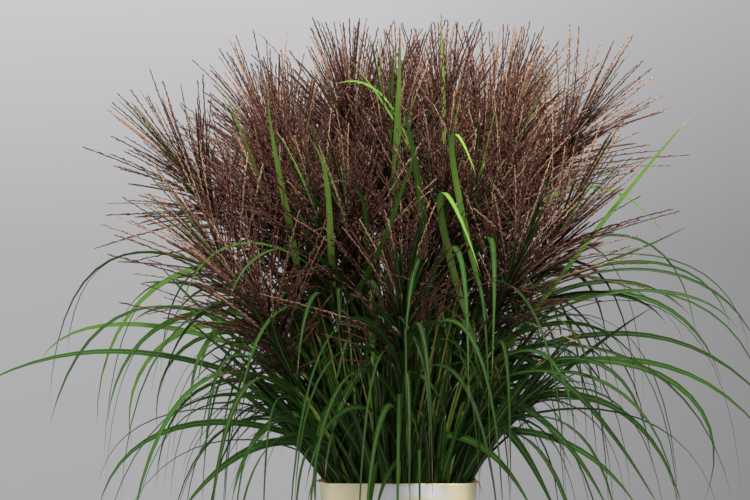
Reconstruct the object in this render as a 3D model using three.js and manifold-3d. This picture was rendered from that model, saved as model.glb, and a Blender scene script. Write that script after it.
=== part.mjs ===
// Potted maiden grass in flower. A square flower pot holds soil, and twelve tufts stand in holes in the soil.
// Each tuft is a crown with three or four culms and the arching leaves that grow from them, and a feathery
// plume sits on the tip of every culm.
// Millimetres, +Z up, front towards -Y. The origin is the middle of the pot's underside.

import * as THREE from 'three';
import { mergeVertices } from 'three/addons/utils/BufferGeometryUtils.js';
import Module from 'manifold-3d';

const wasm = await Module();
wasm.setup();

// Driving dimensions
const GAP = 0.3;
const POT = { width: 228, foot: 194, height: 300, corner: 26, wall: 2.6, floor: 4 };
const CORNER_STEPS = 4;
const SOIL_TOP = 274;
const CROWN = { radius: 20, depth: 40, neck: 14, mound: 8 };
const CULM = { rootRadius: 3.8, tipRadius: 2.2, sides: 3, steps: 4, rootDepth: 14 };
const PLUME = { stalk: 95, racemes: 8, racemeRadius: 1.6 };
const RACEME = { shortest: 170, longest: 225, shortening: 0.22, widest: 50, closest: 6, sag: 0.04, tries: 30 };
const CULM_BOW = { start: 0.07, rise: 0.36, settle: 0.33 };
const BLADE = { steps: 5, thickness: 1.7, neck: 0.12, ease: 1.25 };
const CLEAR = 0.6;
const RIM_ROOM = 3.2;

// How far a leaf's upper face is turned: towards the front, or at most this far either way by rule
const ROLL = { shown: 0.75, ruled: 0.9 };

// How far the culms spread between the crowns and the plumes, and how the plume heads are domed
const SPREAD = { left: 2.55, right: 2.25, y: 2.05, tiller: 2.9 };
const DOME = { top: 742, tilt: 0.1, fall: 30, front: 278, slope: 0.9, back: 80, rough: 26, radius: 240, lean: 31 };

// The crowns in the square pot: four at its corners, four at its sides and four in the middle
const CORNER_CROWN = 67;
const SIDE_CROWN = 75;
const INNER_CROWN = 27;

// How far each culm stands from the middle of its crown
const TILLER = 9;

// The eye that looks at the front of the plant. Leaves placed by eye keep their place in its view.
const EYE = new THREE.Vector3(-34, -2600, 635);

const UP = new THREE.Vector3(0, 0, 1);
const GOLDEN = Math.PI * (3 - Math.sqrt(5));

// The leaves that show from the front, each as [root, rise, over, tip] in x and z, how far its root and its
// tip stand behind the middle plane, and its width
const SHOWN_LEAVES = [
  { x: [-148, -300, -480, -640], z: [390, 490, 520, 425], deep: [-20, -60], wide: 10 },
  { x: [-140, -260, -480, -535], z: [440, 520, 565, 471], deep: [20, 40], wide: 9 },
  { x: [-110, -260, -455, -451], z: [560, 680, 590, 371], deep: [0, -30], wide: 10 },
  { x: [-120, -270, -420, -435], z: [470, 600, 540, 377], deep: [-30, -100], wide: 10 },
  { x: [-110, -260, -430, -399], z: [470, 590, 500, 341], deep: [-40, -20], wide: 11 },
  { x: [-90, -220, -420, -450], z: [330, 410, 400, 240], deep: [-40, -110], wide: 11 },
  { x: [-60, -150, -260, -335], z: [330, 380, 350, 225], deep: [-60, -150], wide: 15 },
  { x: [-130, -200, -290, -367], z: [400, 470, 530, 624], deep: [30, 60], wide: 8 },
  { x: [-110, -220, -340, -400], z: [400, 520, 590, 525], deep: [10, -60], wide: 10 },
  { x: [-100, -230, -380, -360], z: [440, 560, 520, 360], deep: [40, 70], wide: 9 },
  { x: [-90, -200, -320, -310], z: [430, 590, 540, 385], deep: [-50, -120], wide: 13 },
  { x: [-80, -180, -290, -300], z: [480, 640, 560, 430], deep: [-10, -170], wide: 12 },
  { x: [-70, -150, -230, -250], z: [340, 440, 380, 250], deep: [-70, -190], wide: 12 },
  { x: [10, 0, -100, -110], z: [430, 540, 450, 285], deep: [-90, -180], wide: 15 },
  { x: [-40, -90, -135, -122], z: [400, 470, 380, 235], deep: [-70, -175], wide: 15 },
  { x: [0, -10, -40, -45], z: [340, 420, 340, 190], deep: [-80, -160], wide: 13 },
  { x: [50, 10, -20, -38], z: [330, 360, 320, 215], deep: [-80, -170], wide: 10 },
  { x: [20, 28, 34, 33], z: [350, 440, 370, 200], deep: [-80, -165], wide: 8 },
  { x: [80, 150, 300, 449], z: [360, 460, 680, 846], deep: [-80, -210], wide: 13 },
  { x: [90, 240, 450, 570], z: [400, 490, 520, 330], deep: [0, 20], wide: 11 },
  { x: [100, 330, 540, 455], z: [420, 540, 430, 245], deep: [20, -40], wide: 11 },
  { x: [100, 250, 450, 578], z: [440, 530, 560, 375], deep: [40, 60], wide: 10 },
  { x: [130, 290, 470, 500], z: [530, 650, 650, 515], deep: [0, 60], wide: 6 },
  { x: [110, 270, 440, 485], z: [480, 620, 590, 440], deep: [-20, -60], wide: 10 },
  { x: [120, 230, 370, 440], z: [500, 600, 620, 535], deep: [30, 20], wide: 9 },
  { x: [80, 240, 390, 430], z: [360, 480, 420, 235], deep: [-20, -70], wide: 12 },
  { x: [90, 200, 310, 400], z: [470, 520, 400, 235], deep: [-50, -140], wide: 11 },
  { x: [70, 190, 300, 365], z: [340, 390, 350, 240], deep: [-50, -120], wide: 12 },
  { x: [60, 170, 270, 320], z: [400, 460, 350, 235], deep: [-70, -170], wide: 12 },
  { x: [60, 140, 190, 245], z: [380, 420, 350, 225], deep: [-70, -190], wide: 16 },
  { x: [20, 70, 160, 210], z: [340, 390, 350, 225], deep: [-80, -200], wide: 13 },
  { x: [120, 240, 340, 395], z: [600, 780, 740, 665], deep: [-40, -20], wide: 6 },
  { x: [130, 220, 330, 450], z: [500, 600, 610, 680], deep: [10, 40], wide: 6 },
  { x: [-30, -20, 0, 30], z: [520, 600, 720, 790], deep: [-190, -370], wide: 14 },
  { x: [40, 35, 25, 5], z: [620, 700, 800, 855], deep: [-150, -330], wide: 12 },
  { x: [0, 0, 0, 5], z: [650, 750, 850, 955], deep: [-60, -200], wide: 13 },
  { x: [10, 5, -10, -55], z: [650, 800, 900, 970], deep: [-30, -120], wide: 9 },
  { x: [60, 40, -10, -75], z: [600, 760, 850, 925], deep: [-60, -120], wide: 8 },
  { x: [40, 30, -40, -97], z: [620, 860, 910, 883], deep: [-70, -150], wide: 7 },
  { x: [60, 50, 80, 120], z: [560, 840, 860, 738], deep: [-150, -330], wide: 9 },
  { x: [30, 20, 70, 127], z: [480, 780, 780, 590], deep: [-190, -370], wide: 10 },
  { x: [60, 85, 108, 106], z: [480, 720, 700, 385], deep: [-160, -350], wide: 10 },
  { x: [110, 150, 150, 141], z: [500, 720, 700, 430], deep: [-150, -340], wide: 10 },
  { x: [-80, -110, -90, -135], z: [560, 660, 760, 805], deep: [-150, -320], wide: 10 },
  { x: [-130, -160, -190, -195], z: [560, 680, 780, 865], deep: [-100, -260], wide: 11 },
  { x: [-20, -30, -60, -120], z: [540, 720, 760, 728], deep: [-170, -340], wide: 7 },
  { x: [80, 75, 70, 65], z: [600, 760, 880, 985], deep: [0, -30], wide: 10 },
  { x: [130, 150, 200, 245], z: [560, 720, 850, 935], deep: [-30, -160], wide: 9 },
];

// The rest of the leaves are drawn by rule: arching ones all round and upright ones up through the plumes
const ARCHING = { count: 52, seed: 5000, lowest: 300, highest: 610, tries: 40 };
const UPRIGHT = { count: 16, seed: 9000, lowest: 470, highest: 690, tries: 40 };

// A small seeded generator, so that every build grows the same plant.
function seeded(seed) {
  let state = seed >>> 0;
  return () => {
    state = (state + 0x6d2b79f5) >>> 0;
    let mixed = Math.imul(state ^ (state >>> 15), state | 1);
    mixed ^= mixed + Math.imul(mixed ^ (mixed >>> 7), mixed | 61);
    return ((mixed ^ (mixed >>> 14)) >>> 0) / 4294967296;
  };
}

const between = (draw, low, high) => low + (high - low) * draw();
const radians = THREE.MathUtils.degToRad;
const heading = (azimuth) => new THREE.Vector3(Math.cos(azimuth), Math.sin(azimuth), 0);

// Turns a geometry into a solid that can be joined and cut.
function solid(geometry) {
  const bare = geometry.clone();
  bare.deleteAttribute('normal');
  bare.deleteAttribute('uv');
  const merged = mergeVertices(bare, 1e-4);
  const corners = merged.index.array;
  const whole = [];
  for (let i = 0; i < corners.length; i += 3) {
    const [a, b, c] = corners.slice(i, i + 3);
    if (a !== b && b !== c && c !== a) {
      whole.push(a, b, c);
    }
  }
  return new wasm.Manifold(new wasm.Mesh({
    numProp: 3,
    vertProperties: new Float32Array(merged.attributes.position.array),
    triVerts: new Uint32Array(whole),
  }));
}

// Turns a solid back into a geometry.
function geometryOf(body) {
  const mesh = body.getMesh();
  const geometry = new THREE.BufferGeometry();
  geometry.setAttribute('position', new THREE.BufferAttribute(new Float32Array(mesh.vertProperties), 3));
  geometry.setIndex(new THREE.BufferAttribute(new Uint32Array(mesh.triVerts), 1));
  geometry.computeVertexNormals();
  return geometry;
}

const joined = (bodies) => bodies.reduce((all, body) => all.add(body));

// A cylinder or cone of few sides, bent along a curve. Its section is wide across the side direction, and its
// first corner points away from the curve's upper face. With an ease above 1 its steps are shorter near the
// root.
function bent(curve, { sides, steps, across, wide, deep, pointed, ease = 1 }) {
  const geometry = new THREE.CylinderGeometry(pointed ? 0 : 1, 1, 1, sides, steps);
  const place = geometry.attributes.position;
  for (let i = 0; i < place.count; i += 1) {
    const share = place.getY(i) + 0.5;
    const t = share ** ease;
    const taper = pointed ? Math.max(1 - share, 1e-9) : 1;
    const along = curve.getTangent(t);
    const side = across.clone().addScaledVector(along, -across.dot(along)).normalize();
    const down = side.clone().cross(along);
    const point = curve.getPoint(t)
      .addScaledVector(side, (place.getX(i) / taper) * wide(t))
      .addScaledVector(down, (place.getZ(i) / taper) * deep(t));
    place.setXYZ(i, point.x, point.y, point.z);
  }
  return solid(geometry);
}

// What already grows, as short thick lines, so that each new piece keeps clear of it
const grown = [];
const nearest = new THREE.Vector3();
const other = new THREE.Vector3();

function linesOf(curve, steps, radiusAt, owner, ease = 1) {
  const lines = [];
  for (let i = 0; i < steps; i += 1) {
    const [from, to] = [(i / steps) ** ease, ((i + 1) / steps) ** ease];
    const line = new THREE.Line3(curve.getPoint(from), curve.getPoint(to));
    const radius = Math.max(radiusAt(from), radiusAt(to));
    const middle = line.getCenter(new THREE.Vector3());
    lines.push({ line, radius, middle, half: line.distance() / 2 + radius, owner });
  }
  return lines;
}

function meets(lines, ignores) {
  return lines.some((mine) => grown.some((theirs) => {
    if (ignores(theirs.owner)) {
      return false;
    }
    const reach = mine.half + theirs.half + CLEAR;
    if (mine.middle.distanceToSquared(theirs.middle) > reach * reach) {
      return false;
    }
    const least = mine.radius + theirs.radius + CLEAR;
    return mine.line.distanceSqToLine3(theirs.line, nearest, other) < least * least;
  }));
}

// Leaves hang over the rim and down outside the pot, never through its wall or into the floor.
function strikesPot(curve, radius) {
  const outside = POT.width / 2 + radius + RIM_ROOM;
  for (let i = 0; i <= 24; i += 1) {
    const { x, y, z } = curve.getPoint(i / 24);
    const off = Math.max(Math.abs(x), Math.abs(y));
    const inTheSoil = off < CORNER_CROWN + CROWN.radius && z > SOIL_TOP;
    if (z < radius || (z < POT.height + radius + 1 && off < outside && !inTheSoil)) {
      return true;
    }
  }
  return false;
}

// The pot: a rounded square that widens upwards to a plain rim.
function roundedSquare(width, corner) {
  const half = width / 2;
  const shape = new THREE.Shape();
  shape.absarc(half - corner, half - corner, corner, 0, Math.PI / 2);
  shape.absarc(corner - half, half - corner, corner, Math.PI / 2, Math.PI);
  shape.absarc(corner - half, corner - half, corner, Math.PI, 1.5 * Math.PI);
  shape.absarc(half - corner, corner - half, corner, 1.5 * Math.PI, 2 * Math.PI);
  shape.closePath();
  return shape;
}

const widthAt = (z) => POT.foot + (POT.width - POT.foot) * (z / POT.height);

function raised(shape, bottom, top) {
  const along = { depth: top - bottom, bevelEnabled: false, curveSegments: CORNER_STEPS };
  return new THREE.ExtrudeGeometry(shape, along).translate(0, 0, bottom);
}

function tapered(inset, bottom, top) {
  const corner = POT.corner - inset;
  const shape = roundedSquare(POT.width - 2 * inset, corner);
  const geometry = raised(shape, bottom, top);
  const place = geometry.attributes.position;
  for (let i = 0; i < place.count; i += 1) {
    const shrink = (widthAt(place.getZ(i)) - 2 * inset) / (POT.width - 2 * inset);
    place.setXY(i, place.getX(i) * shrink, place.getY(i) * shrink);
  }
  return solid(geometry);
}

function makePot() {
  return tapered(0, 0, POT.height).subtract(tapered(POT.wall, POT.floor, POT.height + 1));
}

// The crowns: turned root stocks with a low mound on top.
function crownCentres() {
  const centres = [];
  for (let quarter = 0; quarter < 4; quarter += 1) {
    const turn = (quarter * Math.PI) / 2;
    centres.push({ at: heading(turn + Math.PI / 4).multiplyScalar(CORNER_CROWN * Math.SQRT2), culms: 4 });
    centres.push({ at: heading(turn).multiplyScalar(SIDE_CROWN), culms: 3 });
    centres.push({ at: heading(turn + Math.PI / 4).multiplyScalar(INNER_CROWN * Math.SQRT2), culms: 4 });
  }
  return centres;
}

function turned(outline, { x, y }) {
  const profile = outline.map(([radius, z]) => new THREE.Vector2(radius, z));
  const geometry = new THREE.LatheGeometry(profile, 8);
  geometry.rotateX(Math.PI / 2);
  geometry.translate(x, y, 0);
  return solid(geometry);
}

function makeCrown(at) {
  const { radius, depth, neck, mound } = CROWN;
  const bottom = SOIL_TOP - depth;
  const top = SOIL_TOP + mound;
  return turned([[0, bottom], [radius, bottom], [radius, SOIL_TOP], [neck, top - 2], [0, top]], at);
}

function makeSoil(crowns) {
  const holes = crowns.map(({ at }) => {
    const radius = CROWN.radius + GAP;
    const bottom = SOIL_TOP - CROWN.depth - GAP;
    return turned([[0, bottom], [radius, bottom], [radius, SOIL_TOP + 1], [0, SOIL_TOP + 1]], at);
  });
  return tapered(POT.wall + GAP, POT.floor + GAP, SOIL_TOP).subtract(joined(holes));
}

// The culms: each rises from its crown and leans outwards, the more the further out it stands.
function growCulms(crowns) {
  const culms = [];
  crowns.forEach(({ at, culms: count }, tuft) => {
    const outward = Math.atan2(at.y, at.x);
    for (let i = 0; i < count; i += 1) {
      const draw = seeded(100 * (tuft + 1) + i);
      const turn = outward + (2 * Math.PI * (i + (count === 4 ? 0.5 : 0))) / count;
      const offset = heading(turn).multiplyScalar(TILLER);
      const root = at.clone().add(offset).setZ(SOIL_TOP - CULM.rootDepth);
      const top = at.clone().addScaledVector(offset, SPREAD.tiller);
      const rounding = Math.sqrt(Math.max(Math.abs(top.x), Math.abs(top.y)) / top.length());
      const wide = top.x < 0 ? SPREAD.left : SPREAD.right;
      top.x = top.x * wide * rounding + between(draw, -10, 10);
      top.y = top.y * SPREAD.y * rounding + between(draw, -10, 10);
      const spread = Math.hypot(top.x, top.y) / DOME.radius;
      const deep = top.y / DOME.radius;
      const sink = deep > 0 ? DOME.back * deep ** 2 : DOME.front * (-deep) ** DOME.slope;
      top.z = DOME.top + DOME.tilt * top.x - DOME.fall * spread ** 3 - sink;
      top.z += between(draw, -DOME.rough, DOME.rough);
      const lean = radians(DOME.lean * spread + between(draw, -3, 3));
      const azimuth = Math.atan2(top.y, top.x) + between(draw, -0.12, 0.12);
      const aim = heading(azimuth).multiplyScalar(Math.sin(lean)).addScaledVector(UP, Math.cos(lean));
      const tall = top.z - root.z;
      const rise = root.clone().lerp(top, CULM_BOW.start).setZ(root.z + CULM_BOW.rise * tall);
      const settle = top.clone().addScaledVector(aim, -CULM_BOW.settle * tall);
      const curve = new THREE.CubicBezierCurve3(root, rise, settle, top);
      culms.push({ tuft, curve, aim, azimuth, number: culms.length });
    }
  });
  return culms;
}

const culmRadius = (t) => CULM.rootRadius + (CULM.tipRadius - CULM.rootRadius) * t;

function makeCulm({ curve, azimuth }) {
  const across = UP.clone().cross(heading(azimuth));
  return bent(curve, { ...CULM, across, wide: culmRadius, deep: culmRadius, pointed: false });
}

// The leaves: long keeled blades that follow the culm at first, arch over and run out to a fine point.
const bladeHalf = (wide) => (t) => (wide / 2) * Math.min(1, BLADE.neck + 6 * t) * (1 - t ** 2.4);

function makeBlade({ curve, wide, across }) {
  const half = bladeHalf(wide);
  const acrossCorner = Math.sin(Math.PI / 3);
  return bent(curve, {
    sides: 3,
    steps: BLADE.steps,
    across,
    wide: (t) => half(t) / acrossCorner,
    deep: (t) => (BLADE.thickness / 1.5) * (1 - 0.5 * t),
    pointed: true,
    ease: BLADE.ease,
  });
}

// Slides a point of the middle plane along its line of sight until it stands at the given depth.
function seenAt(x, z, depth) {
  const flat = new THREE.Vector3(x, 0, z);
  return flat.lerp(EYE, depth / EYE.y);
}

// The middle of a culm's faceted body, where leaves take root.
function onCulm({ curve }, t) {
  const step = Math.min(Math.floor(t * CULM.steps), CULM.steps - 1);
  const [from, to] = [step, step + 1].map((i) => curve.getPoint(i / CULM.steps));
  return from.lerp(to, t * CULM.steps - step);
}

// Gives a leaf its place if it is clear of what already grows. Its roll turns its upper face to one side.
function tryLeaf(culm, t, points, wide, roll) {
  const root = onCulm(culm, t);
  const curve = new THREE.CubicBezierCurve3(root, ...points);
  const reach = curve.v3.clone().sub(root);
  const level = UP.clone().cross(reach.setZ(0)).normalize();
  const turn = roll(level);
  const across = level.clone().multiplyScalar(Math.cos(turn)).addScaledVector(UP, Math.sin(turn));
  const lines = linesOf(curve, BLADE.steps, bladeHalf(wide), { kind: 'leaf', culm: culm.number }, BLADE.ease);
  const ownCulm = (owner) => owner.kind === 'culm' && owner.culm === culm.number;
  if (strikesPot(curve, wide / 2) || meets(lines, ownCulm)) {
    return null;
  }
  grown.push(...lines);
  return { culm, curve, wide, across };
}

// Finds the place along a culm that is nearest to a point.
function nearestOn(culm, point) {
  let best = { t: 0, off: Infinity };
  for (let t = 0.1; t < 0.97; t += 0.02) {
    const off = culm.curve.getPoint(t).distanceTo(point);
    if (off < best.off) {
      best = { culm, t, off };
    }
  }
  return best;
}

// The roll that turns the upper face of a leaf that reaches sideways towards the front.
const toTheFront = (level) => ROLL.shown * level.y;

function growShownLeaves(culms) {
  const leaves = [];
  SHOWN_LEAVES.forEach(({ x, z, deep, wide }, number) => {
    const root = seenAt(x[0], z[0], deep[0]);
    const places = culms.map((culm) => nearestOn(culm, root)).sort((a, b) => a.off - b.off);
    for (let attempt = 0; attempt < 60; attempt += 1) {
      const draw = seeded(1000 + 100 * number + attempt);
      const { culm, t } = places[Math.floor(attempt / 6)];
      const shake = 3 + attempt;
      const sway = between(draw, -shake, shake);
      const points = [1, 2, 3].map((i) => {
        const depth = deep[0] + (deep[1] - deep[0]) * (i / 3) + (sway * i) / 3;
        const point = seenAt(x[i], z[i], depth);
        return point.add(new THREE.Vector3(0, 0, between(draw, -0.1, 0.1) * shake));
      });
      const leaf = tryLeaf(culm, Math.min(0.96, t + between(draw, -0.03, 0.03)), points, wide, toTheFront);
      if (leaf) {
        leaves.push(leaf);
        return;
      }
    }
  });
  return leaves;
}

// Draws each leaf on a culm that stands towards its azimuth, as often as it takes to find a clear place.
function growByRule(culms, { count, seed, lowest, highest, tries }, habit) {
  const leaves = [];
  for (let number = 0; number < count; number += 1) {
    for (let attempt = 0; attempt < tries; attempt += 1) {
      const draw = seeded(seed + 100 * number + attempt);
      const azimuth = number * GOLDEN + between(draw, -0.2, 0.2);
      const height = between(draw, lowest, highest);
      const { standOff, leaf } = habit(draw, azimuth, height);
      const wished = heading(azimuth).multiplyScalar(standOff).setZ(height);
      const places = culms.map((culm) => nearestOn(culm, wished)).sort((a, b) => a.off - b.off);
      const { culm, t } = places[attempt % 3];
      const root = onCulm(culm, t);
      const wide = between(draw, 8, 13);
      const roll = between(draw, -ROLL.ruled, ROLL.ruled);
      const grew = tryLeaf(culm, t, leaf(root, culm.curve.getTangent(t)), wide, () => roll);
      if (grew) {
        leaves.push(grew);
        break;
      }
    }
  }
  return leaves;
}

// An arching leaf follows its culm, leaves it and falls over in a wide bow.
function arching(draw, azimuth, height) {
  const reach = between(draw, 210, 400);
  const rise = between(draw, 60, 170);
  const end = between(draw, -190, 60);
  const out = heading(azimuth + between(draw, -0.35, 0.35));
  return {
    standOff: 70 + 0.2 * height,
    leaf: (root, along) => {
      const tip = root.clone().addScaledVector(out, reach);
      tip.z = Math.max(40, root.z + end);
      const over = root.clone().addScaledVector(out, 0.85 * reach);
      over.z += rise * 0.8;
      return [root.clone().addScaledVector(along, 0.8 * rise).addScaledVector(out, 0.22 * reach), over, tip];
    },
  };
}

// An upright leaf runs up between the plumes.
function upright(draw, azimuth) {
  const reach = between(draw, 20, 90);
  const rise = between(draw, 150, 260);
  const out = heading(azimuth);
  return {
    standOff: between(draw, 20, 150),
    leaf: (root, along) => {
      const tip = root.clone().addScaledVector(along, rise).addScaledVector(out, reach);
      const low = root.clone().addScaledVector(along, 0.4 * rise);
      const high = root.clone().addScaledVector(along, 0.8 * rise).addScaledVector(out, 0.3 * reach);
      return [low, high, tip];
    },
  };
}

// The plumes: a short stalk that carries on from the culm, and long slim racemes that fan out from it.
function stalkOf({ curve, aim, number }) {
  const foot = curve.v3.clone().addScaledVector(aim, GAP);
  return { line: new THREE.LineCurve3(foot, foot.clone().addScaledVector(aim, PLUME.stalk)), number };
}

const stalkRadius = (t) => CULM.tipRadius * (1 - 0.3 * t);
const racemeRadius = (t) => PLUME.racemeRadius * Math.min(1, 0.33 + 1.4 * t);

function growRacemes(culm, stalk) {
  const racemes = [];
  const { aim, number } = culm;
  const side = UP.clone().cross(heading(culm.azimuth));
  const front = side.clone().cross(aim);
  for (let i = 0; i < PLUME.racemes; i += 1) {
    const share = i / (PLUME.racemes - 1);
    for (let attempt = 0; attempt < RACEME.tries; attempt += 1) {
      const draw = seeded(20000 + 1000 * number + 40 * i + attempt);
      const turn = i * GOLDEN + number + between(draw, -0.3, 0.3) * (1 + attempt / 10);
      const opening = RACEME.widest + (RACEME.closest - RACEME.widest) * share;
      const open = radians(opening + between(draw, -4, 4) * (1 + attempt / 10));
      const drawn = between(draw, RACEME.shortest, RACEME.longest) * (1 - 0.012 * attempt);
      const long = drawn * (1 - RACEME.shortening * share);
      const outward = side.clone().multiplyScalar(Math.cos(turn)).addScaledVector(front, Math.sin(turn));
      const foot = stalk.line.getPoint(0.06 + 0.78 * share);
      const start = aim.clone().multiplyScalar(Math.cos(open)).addScaledVector(outward, Math.sin(open));
      const tip = foot.clone().addScaledVector(start, 0.93 * long).addScaledVector(outward, 0.05 * long);
      tip.z -= RACEME.sag * long * Math.hypot(start.x, start.y);
      const bow = foot.clone().addScaledVector(start, 0.5 * long);
      const curve = new THREE.QuadraticBezierCurve3(foot, bow, tip);
      const lines = linesOf(curve, 2, racemeRadius, { kind: 'plume', culm: number });
      if (!meets(lines, (owner) => owner.kind !== 'leaf' && owner.culm === number)) {
        grown.push(...lines);
        racemes.push({ curve, across: UP.clone().cross(outward).normalize() });
        break;
      }
    }
  }
  return racemes;
}

function makePlume(stalk, racemes, azimuth) {
  const across = UP.clone().cross(heading(azimuth));
  const stem = bent(stalk.line, {
    sides: 3, steps: 1, across, wide: stalkRadius, deep: stalkRadius, pointed: false,
  });
  const needles = racemes.map(({ curve, across: level }) => bent(curve, {
    sides: 3, steps: 2, across: level, wide: racemeRadius, deep: racemeRadius, pointed: true,
  }));
  return joined([stem, ...needles]);
}

// The finishes
const FINISHES = {
  pot: { color: 0xd8d0b0, roughness: 0.35, metalness: 0 },
  soil: { color: 0x3a2a1e, roughness: 1, metalness: 0 },
  green: { color: 0x4a7030, roughness: 0.6, metalness: 0 },
  plume: { color: 0x6a4c40, roughness: 0.85, metalness: 0 },
};

function named(name, body, finish) {
  const mesh = new THREE.Mesh(geometryOf(body), new THREE.MeshStandardMaterial(FINISHES[finish]));
  mesh.name = name;
  return mesh;
}

const twoDigits = (number) => String(number).padStart(2, '0');

// The whole plant
const plant = new THREE.Group();
const crowns = crownCentres();
plant.add(named('pot', makePot(), 'pot'));
plant.add(named('soil', makeSoil(crowns), 'soil'));

const culms = growCulms(crowns);
culms.forEach((culm) => {
  grown.push(...linesOf(culm.curve, CULM.steps, culmRadius, { kind: 'culm', culm: culm.number }));
});
const stalks = culms.map(stalkOf);
stalks.forEach(({ line, number }) => {
  grown.push(...linesOf(line, 1, stalkRadius, { kind: 'plume', culm: number }));
});

const leaves = growShownLeaves(culms);
const plumes = culms.map((culm, number) => growRacemes(culm, stalks[number]));
leaves.push(...growByRule(culms, ARCHING, arching));
leaves.push(...growByRule(culms, UPRIGHT, upright));

crowns.forEach(({ at }, tuft) => {
  const bodies = [makeCrown(at)];
  culms.filter((culm) => culm.tuft === tuft).forEach((culm) => bodies.push(makeCulm(culm)));
  leaves.filter(({ culm }) => culm.tuft === tuft).forEach((leaf) => bodies.push(makeBlade(leaf)));
  plant.add(named(`tuft_${twoDigits(tuft + 1)}`, joined(bodies), 'green'));
});
culms.forEach((culm, number) => {
  const plume = makePlume(stalks[number], plumes[number], culm.azimuth);
  plant.add(named(`plume_${twoDigits(number + 1)}`, plume, 'plume'));
});

export default plant;
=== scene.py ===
"""Potted maiden grass in flower: leafy culms fan out of a square cream pot and carry feathery plumes.

The plant grows here by the same seeded rules as its solids do, in millimetres, and every leaf, culm and
raceme follows the same middle line. Here each gets its real section, and finer growth fills the plant.
"""
import math

import bmesh
import bpy
import numpy as np
from mathutils import Matrix, Vector


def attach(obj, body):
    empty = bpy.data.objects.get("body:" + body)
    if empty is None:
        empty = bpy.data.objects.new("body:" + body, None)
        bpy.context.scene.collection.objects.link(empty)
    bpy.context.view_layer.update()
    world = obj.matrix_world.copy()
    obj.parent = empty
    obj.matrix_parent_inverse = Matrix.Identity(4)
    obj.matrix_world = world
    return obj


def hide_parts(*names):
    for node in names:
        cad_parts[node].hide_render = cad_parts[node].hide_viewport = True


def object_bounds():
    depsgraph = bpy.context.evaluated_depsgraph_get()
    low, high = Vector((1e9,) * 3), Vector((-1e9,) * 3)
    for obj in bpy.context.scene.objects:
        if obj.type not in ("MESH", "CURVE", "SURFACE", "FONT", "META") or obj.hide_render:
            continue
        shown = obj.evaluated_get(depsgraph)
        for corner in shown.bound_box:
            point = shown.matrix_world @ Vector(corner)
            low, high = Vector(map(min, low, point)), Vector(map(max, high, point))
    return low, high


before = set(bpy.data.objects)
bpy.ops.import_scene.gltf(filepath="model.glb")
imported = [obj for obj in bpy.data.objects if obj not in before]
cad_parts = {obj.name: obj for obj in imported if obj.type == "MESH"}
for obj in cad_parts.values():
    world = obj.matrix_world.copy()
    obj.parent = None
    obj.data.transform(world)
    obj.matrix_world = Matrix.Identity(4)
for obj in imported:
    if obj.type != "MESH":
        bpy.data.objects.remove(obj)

CAD_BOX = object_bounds()
MM = 0.001

# Sizes, in millimetres, as in the solids
GAP = 0.3
CLEAR = 0.6
POT_WIDTH, POT_FOOT, POT_HEIGHT = 228, 194, 300
POT_CORNER, POT_WALL, POT_FLOOR = 26, 2.6, 4
RIM_ROOM, POT_CHECKS = 3.2, 24
SOIL_TOP = 274
CROWN_RADIUS, CROWN_NECK, CROWN_MOUND = 20, 14, 8
CULM_ROOT_RADIUS, CULM_TIP_RADIUS, CULM_STEPS, CULM_ROOT_DEPTH = 3.8, 2.2, 4, 14
BOW_START, BOW_RISE, BOW_SETTLE = 0.07, 0.36, 0.33
STALK, RACEME_RADIUS = 95, 1.6
RACEMES, RACEME_TRIES = 8, 30
RACEME_SHORTEST, RACEME_LONGEST, RACEME_SHORTENING = 170, 225, 0.22
RACEME_WIDEST, RACEME_CLOSEST, RACEME_SAG = 50, 6, 0.04
RACEME_FIRST, RACEME_SPAN = 0.06, 0.78
BLADE_STEPS, BLADE_NECK, BLADE_EASE, BLADE_SWELL, BLADE_POINT = 5, 0.12, 1.25, 6, 2.4
SHOWN_ROLL, RULED_ROLL = 0.75, 0.9
SHOWN_TRIES, TRIES_A_PLACE, RULED_TRIES = 60, 6, 40
FIRST_SHAKE, HIGHEST_PLACE = 3, 0.96
# How much painted light a leaf's colour is given: the shown leaves more than the ruled ones
SHOWN_LIGHT, RULED_LIGHT = 0.72, 0.4
SPREAD_LEFT, SPREAD_RIGHT, SPREAD_Y, SPREAD_TILLER = 2.55, 2.25, 2.05, 2.9
DOME_TOP, DOME_TILT, DOME_FALL, DOME_FRONT, DOME_BACK = 742, 0.1, 30, 278, 80
DOME_ROUGH, DOME_RADIUS, DOME_LEAN, DOME_FRONT_CURVE = 26, 240, 31, 0.9
TOP_SHAKE, LEAN_SHAKE, TURN_SHAKE = 10, 3, 0.12
CORNER_CROWN, SIDE_CROWN, INNER_CROWN, TILLER = 67, 75, 27, 9
EYE = np.array([-34.0, -2600.0, 635.0])
UP = np.array([0.0, 0.0, 1.0])
GOLDEN = math.pi * (3 - math.sqrt(5))

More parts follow.
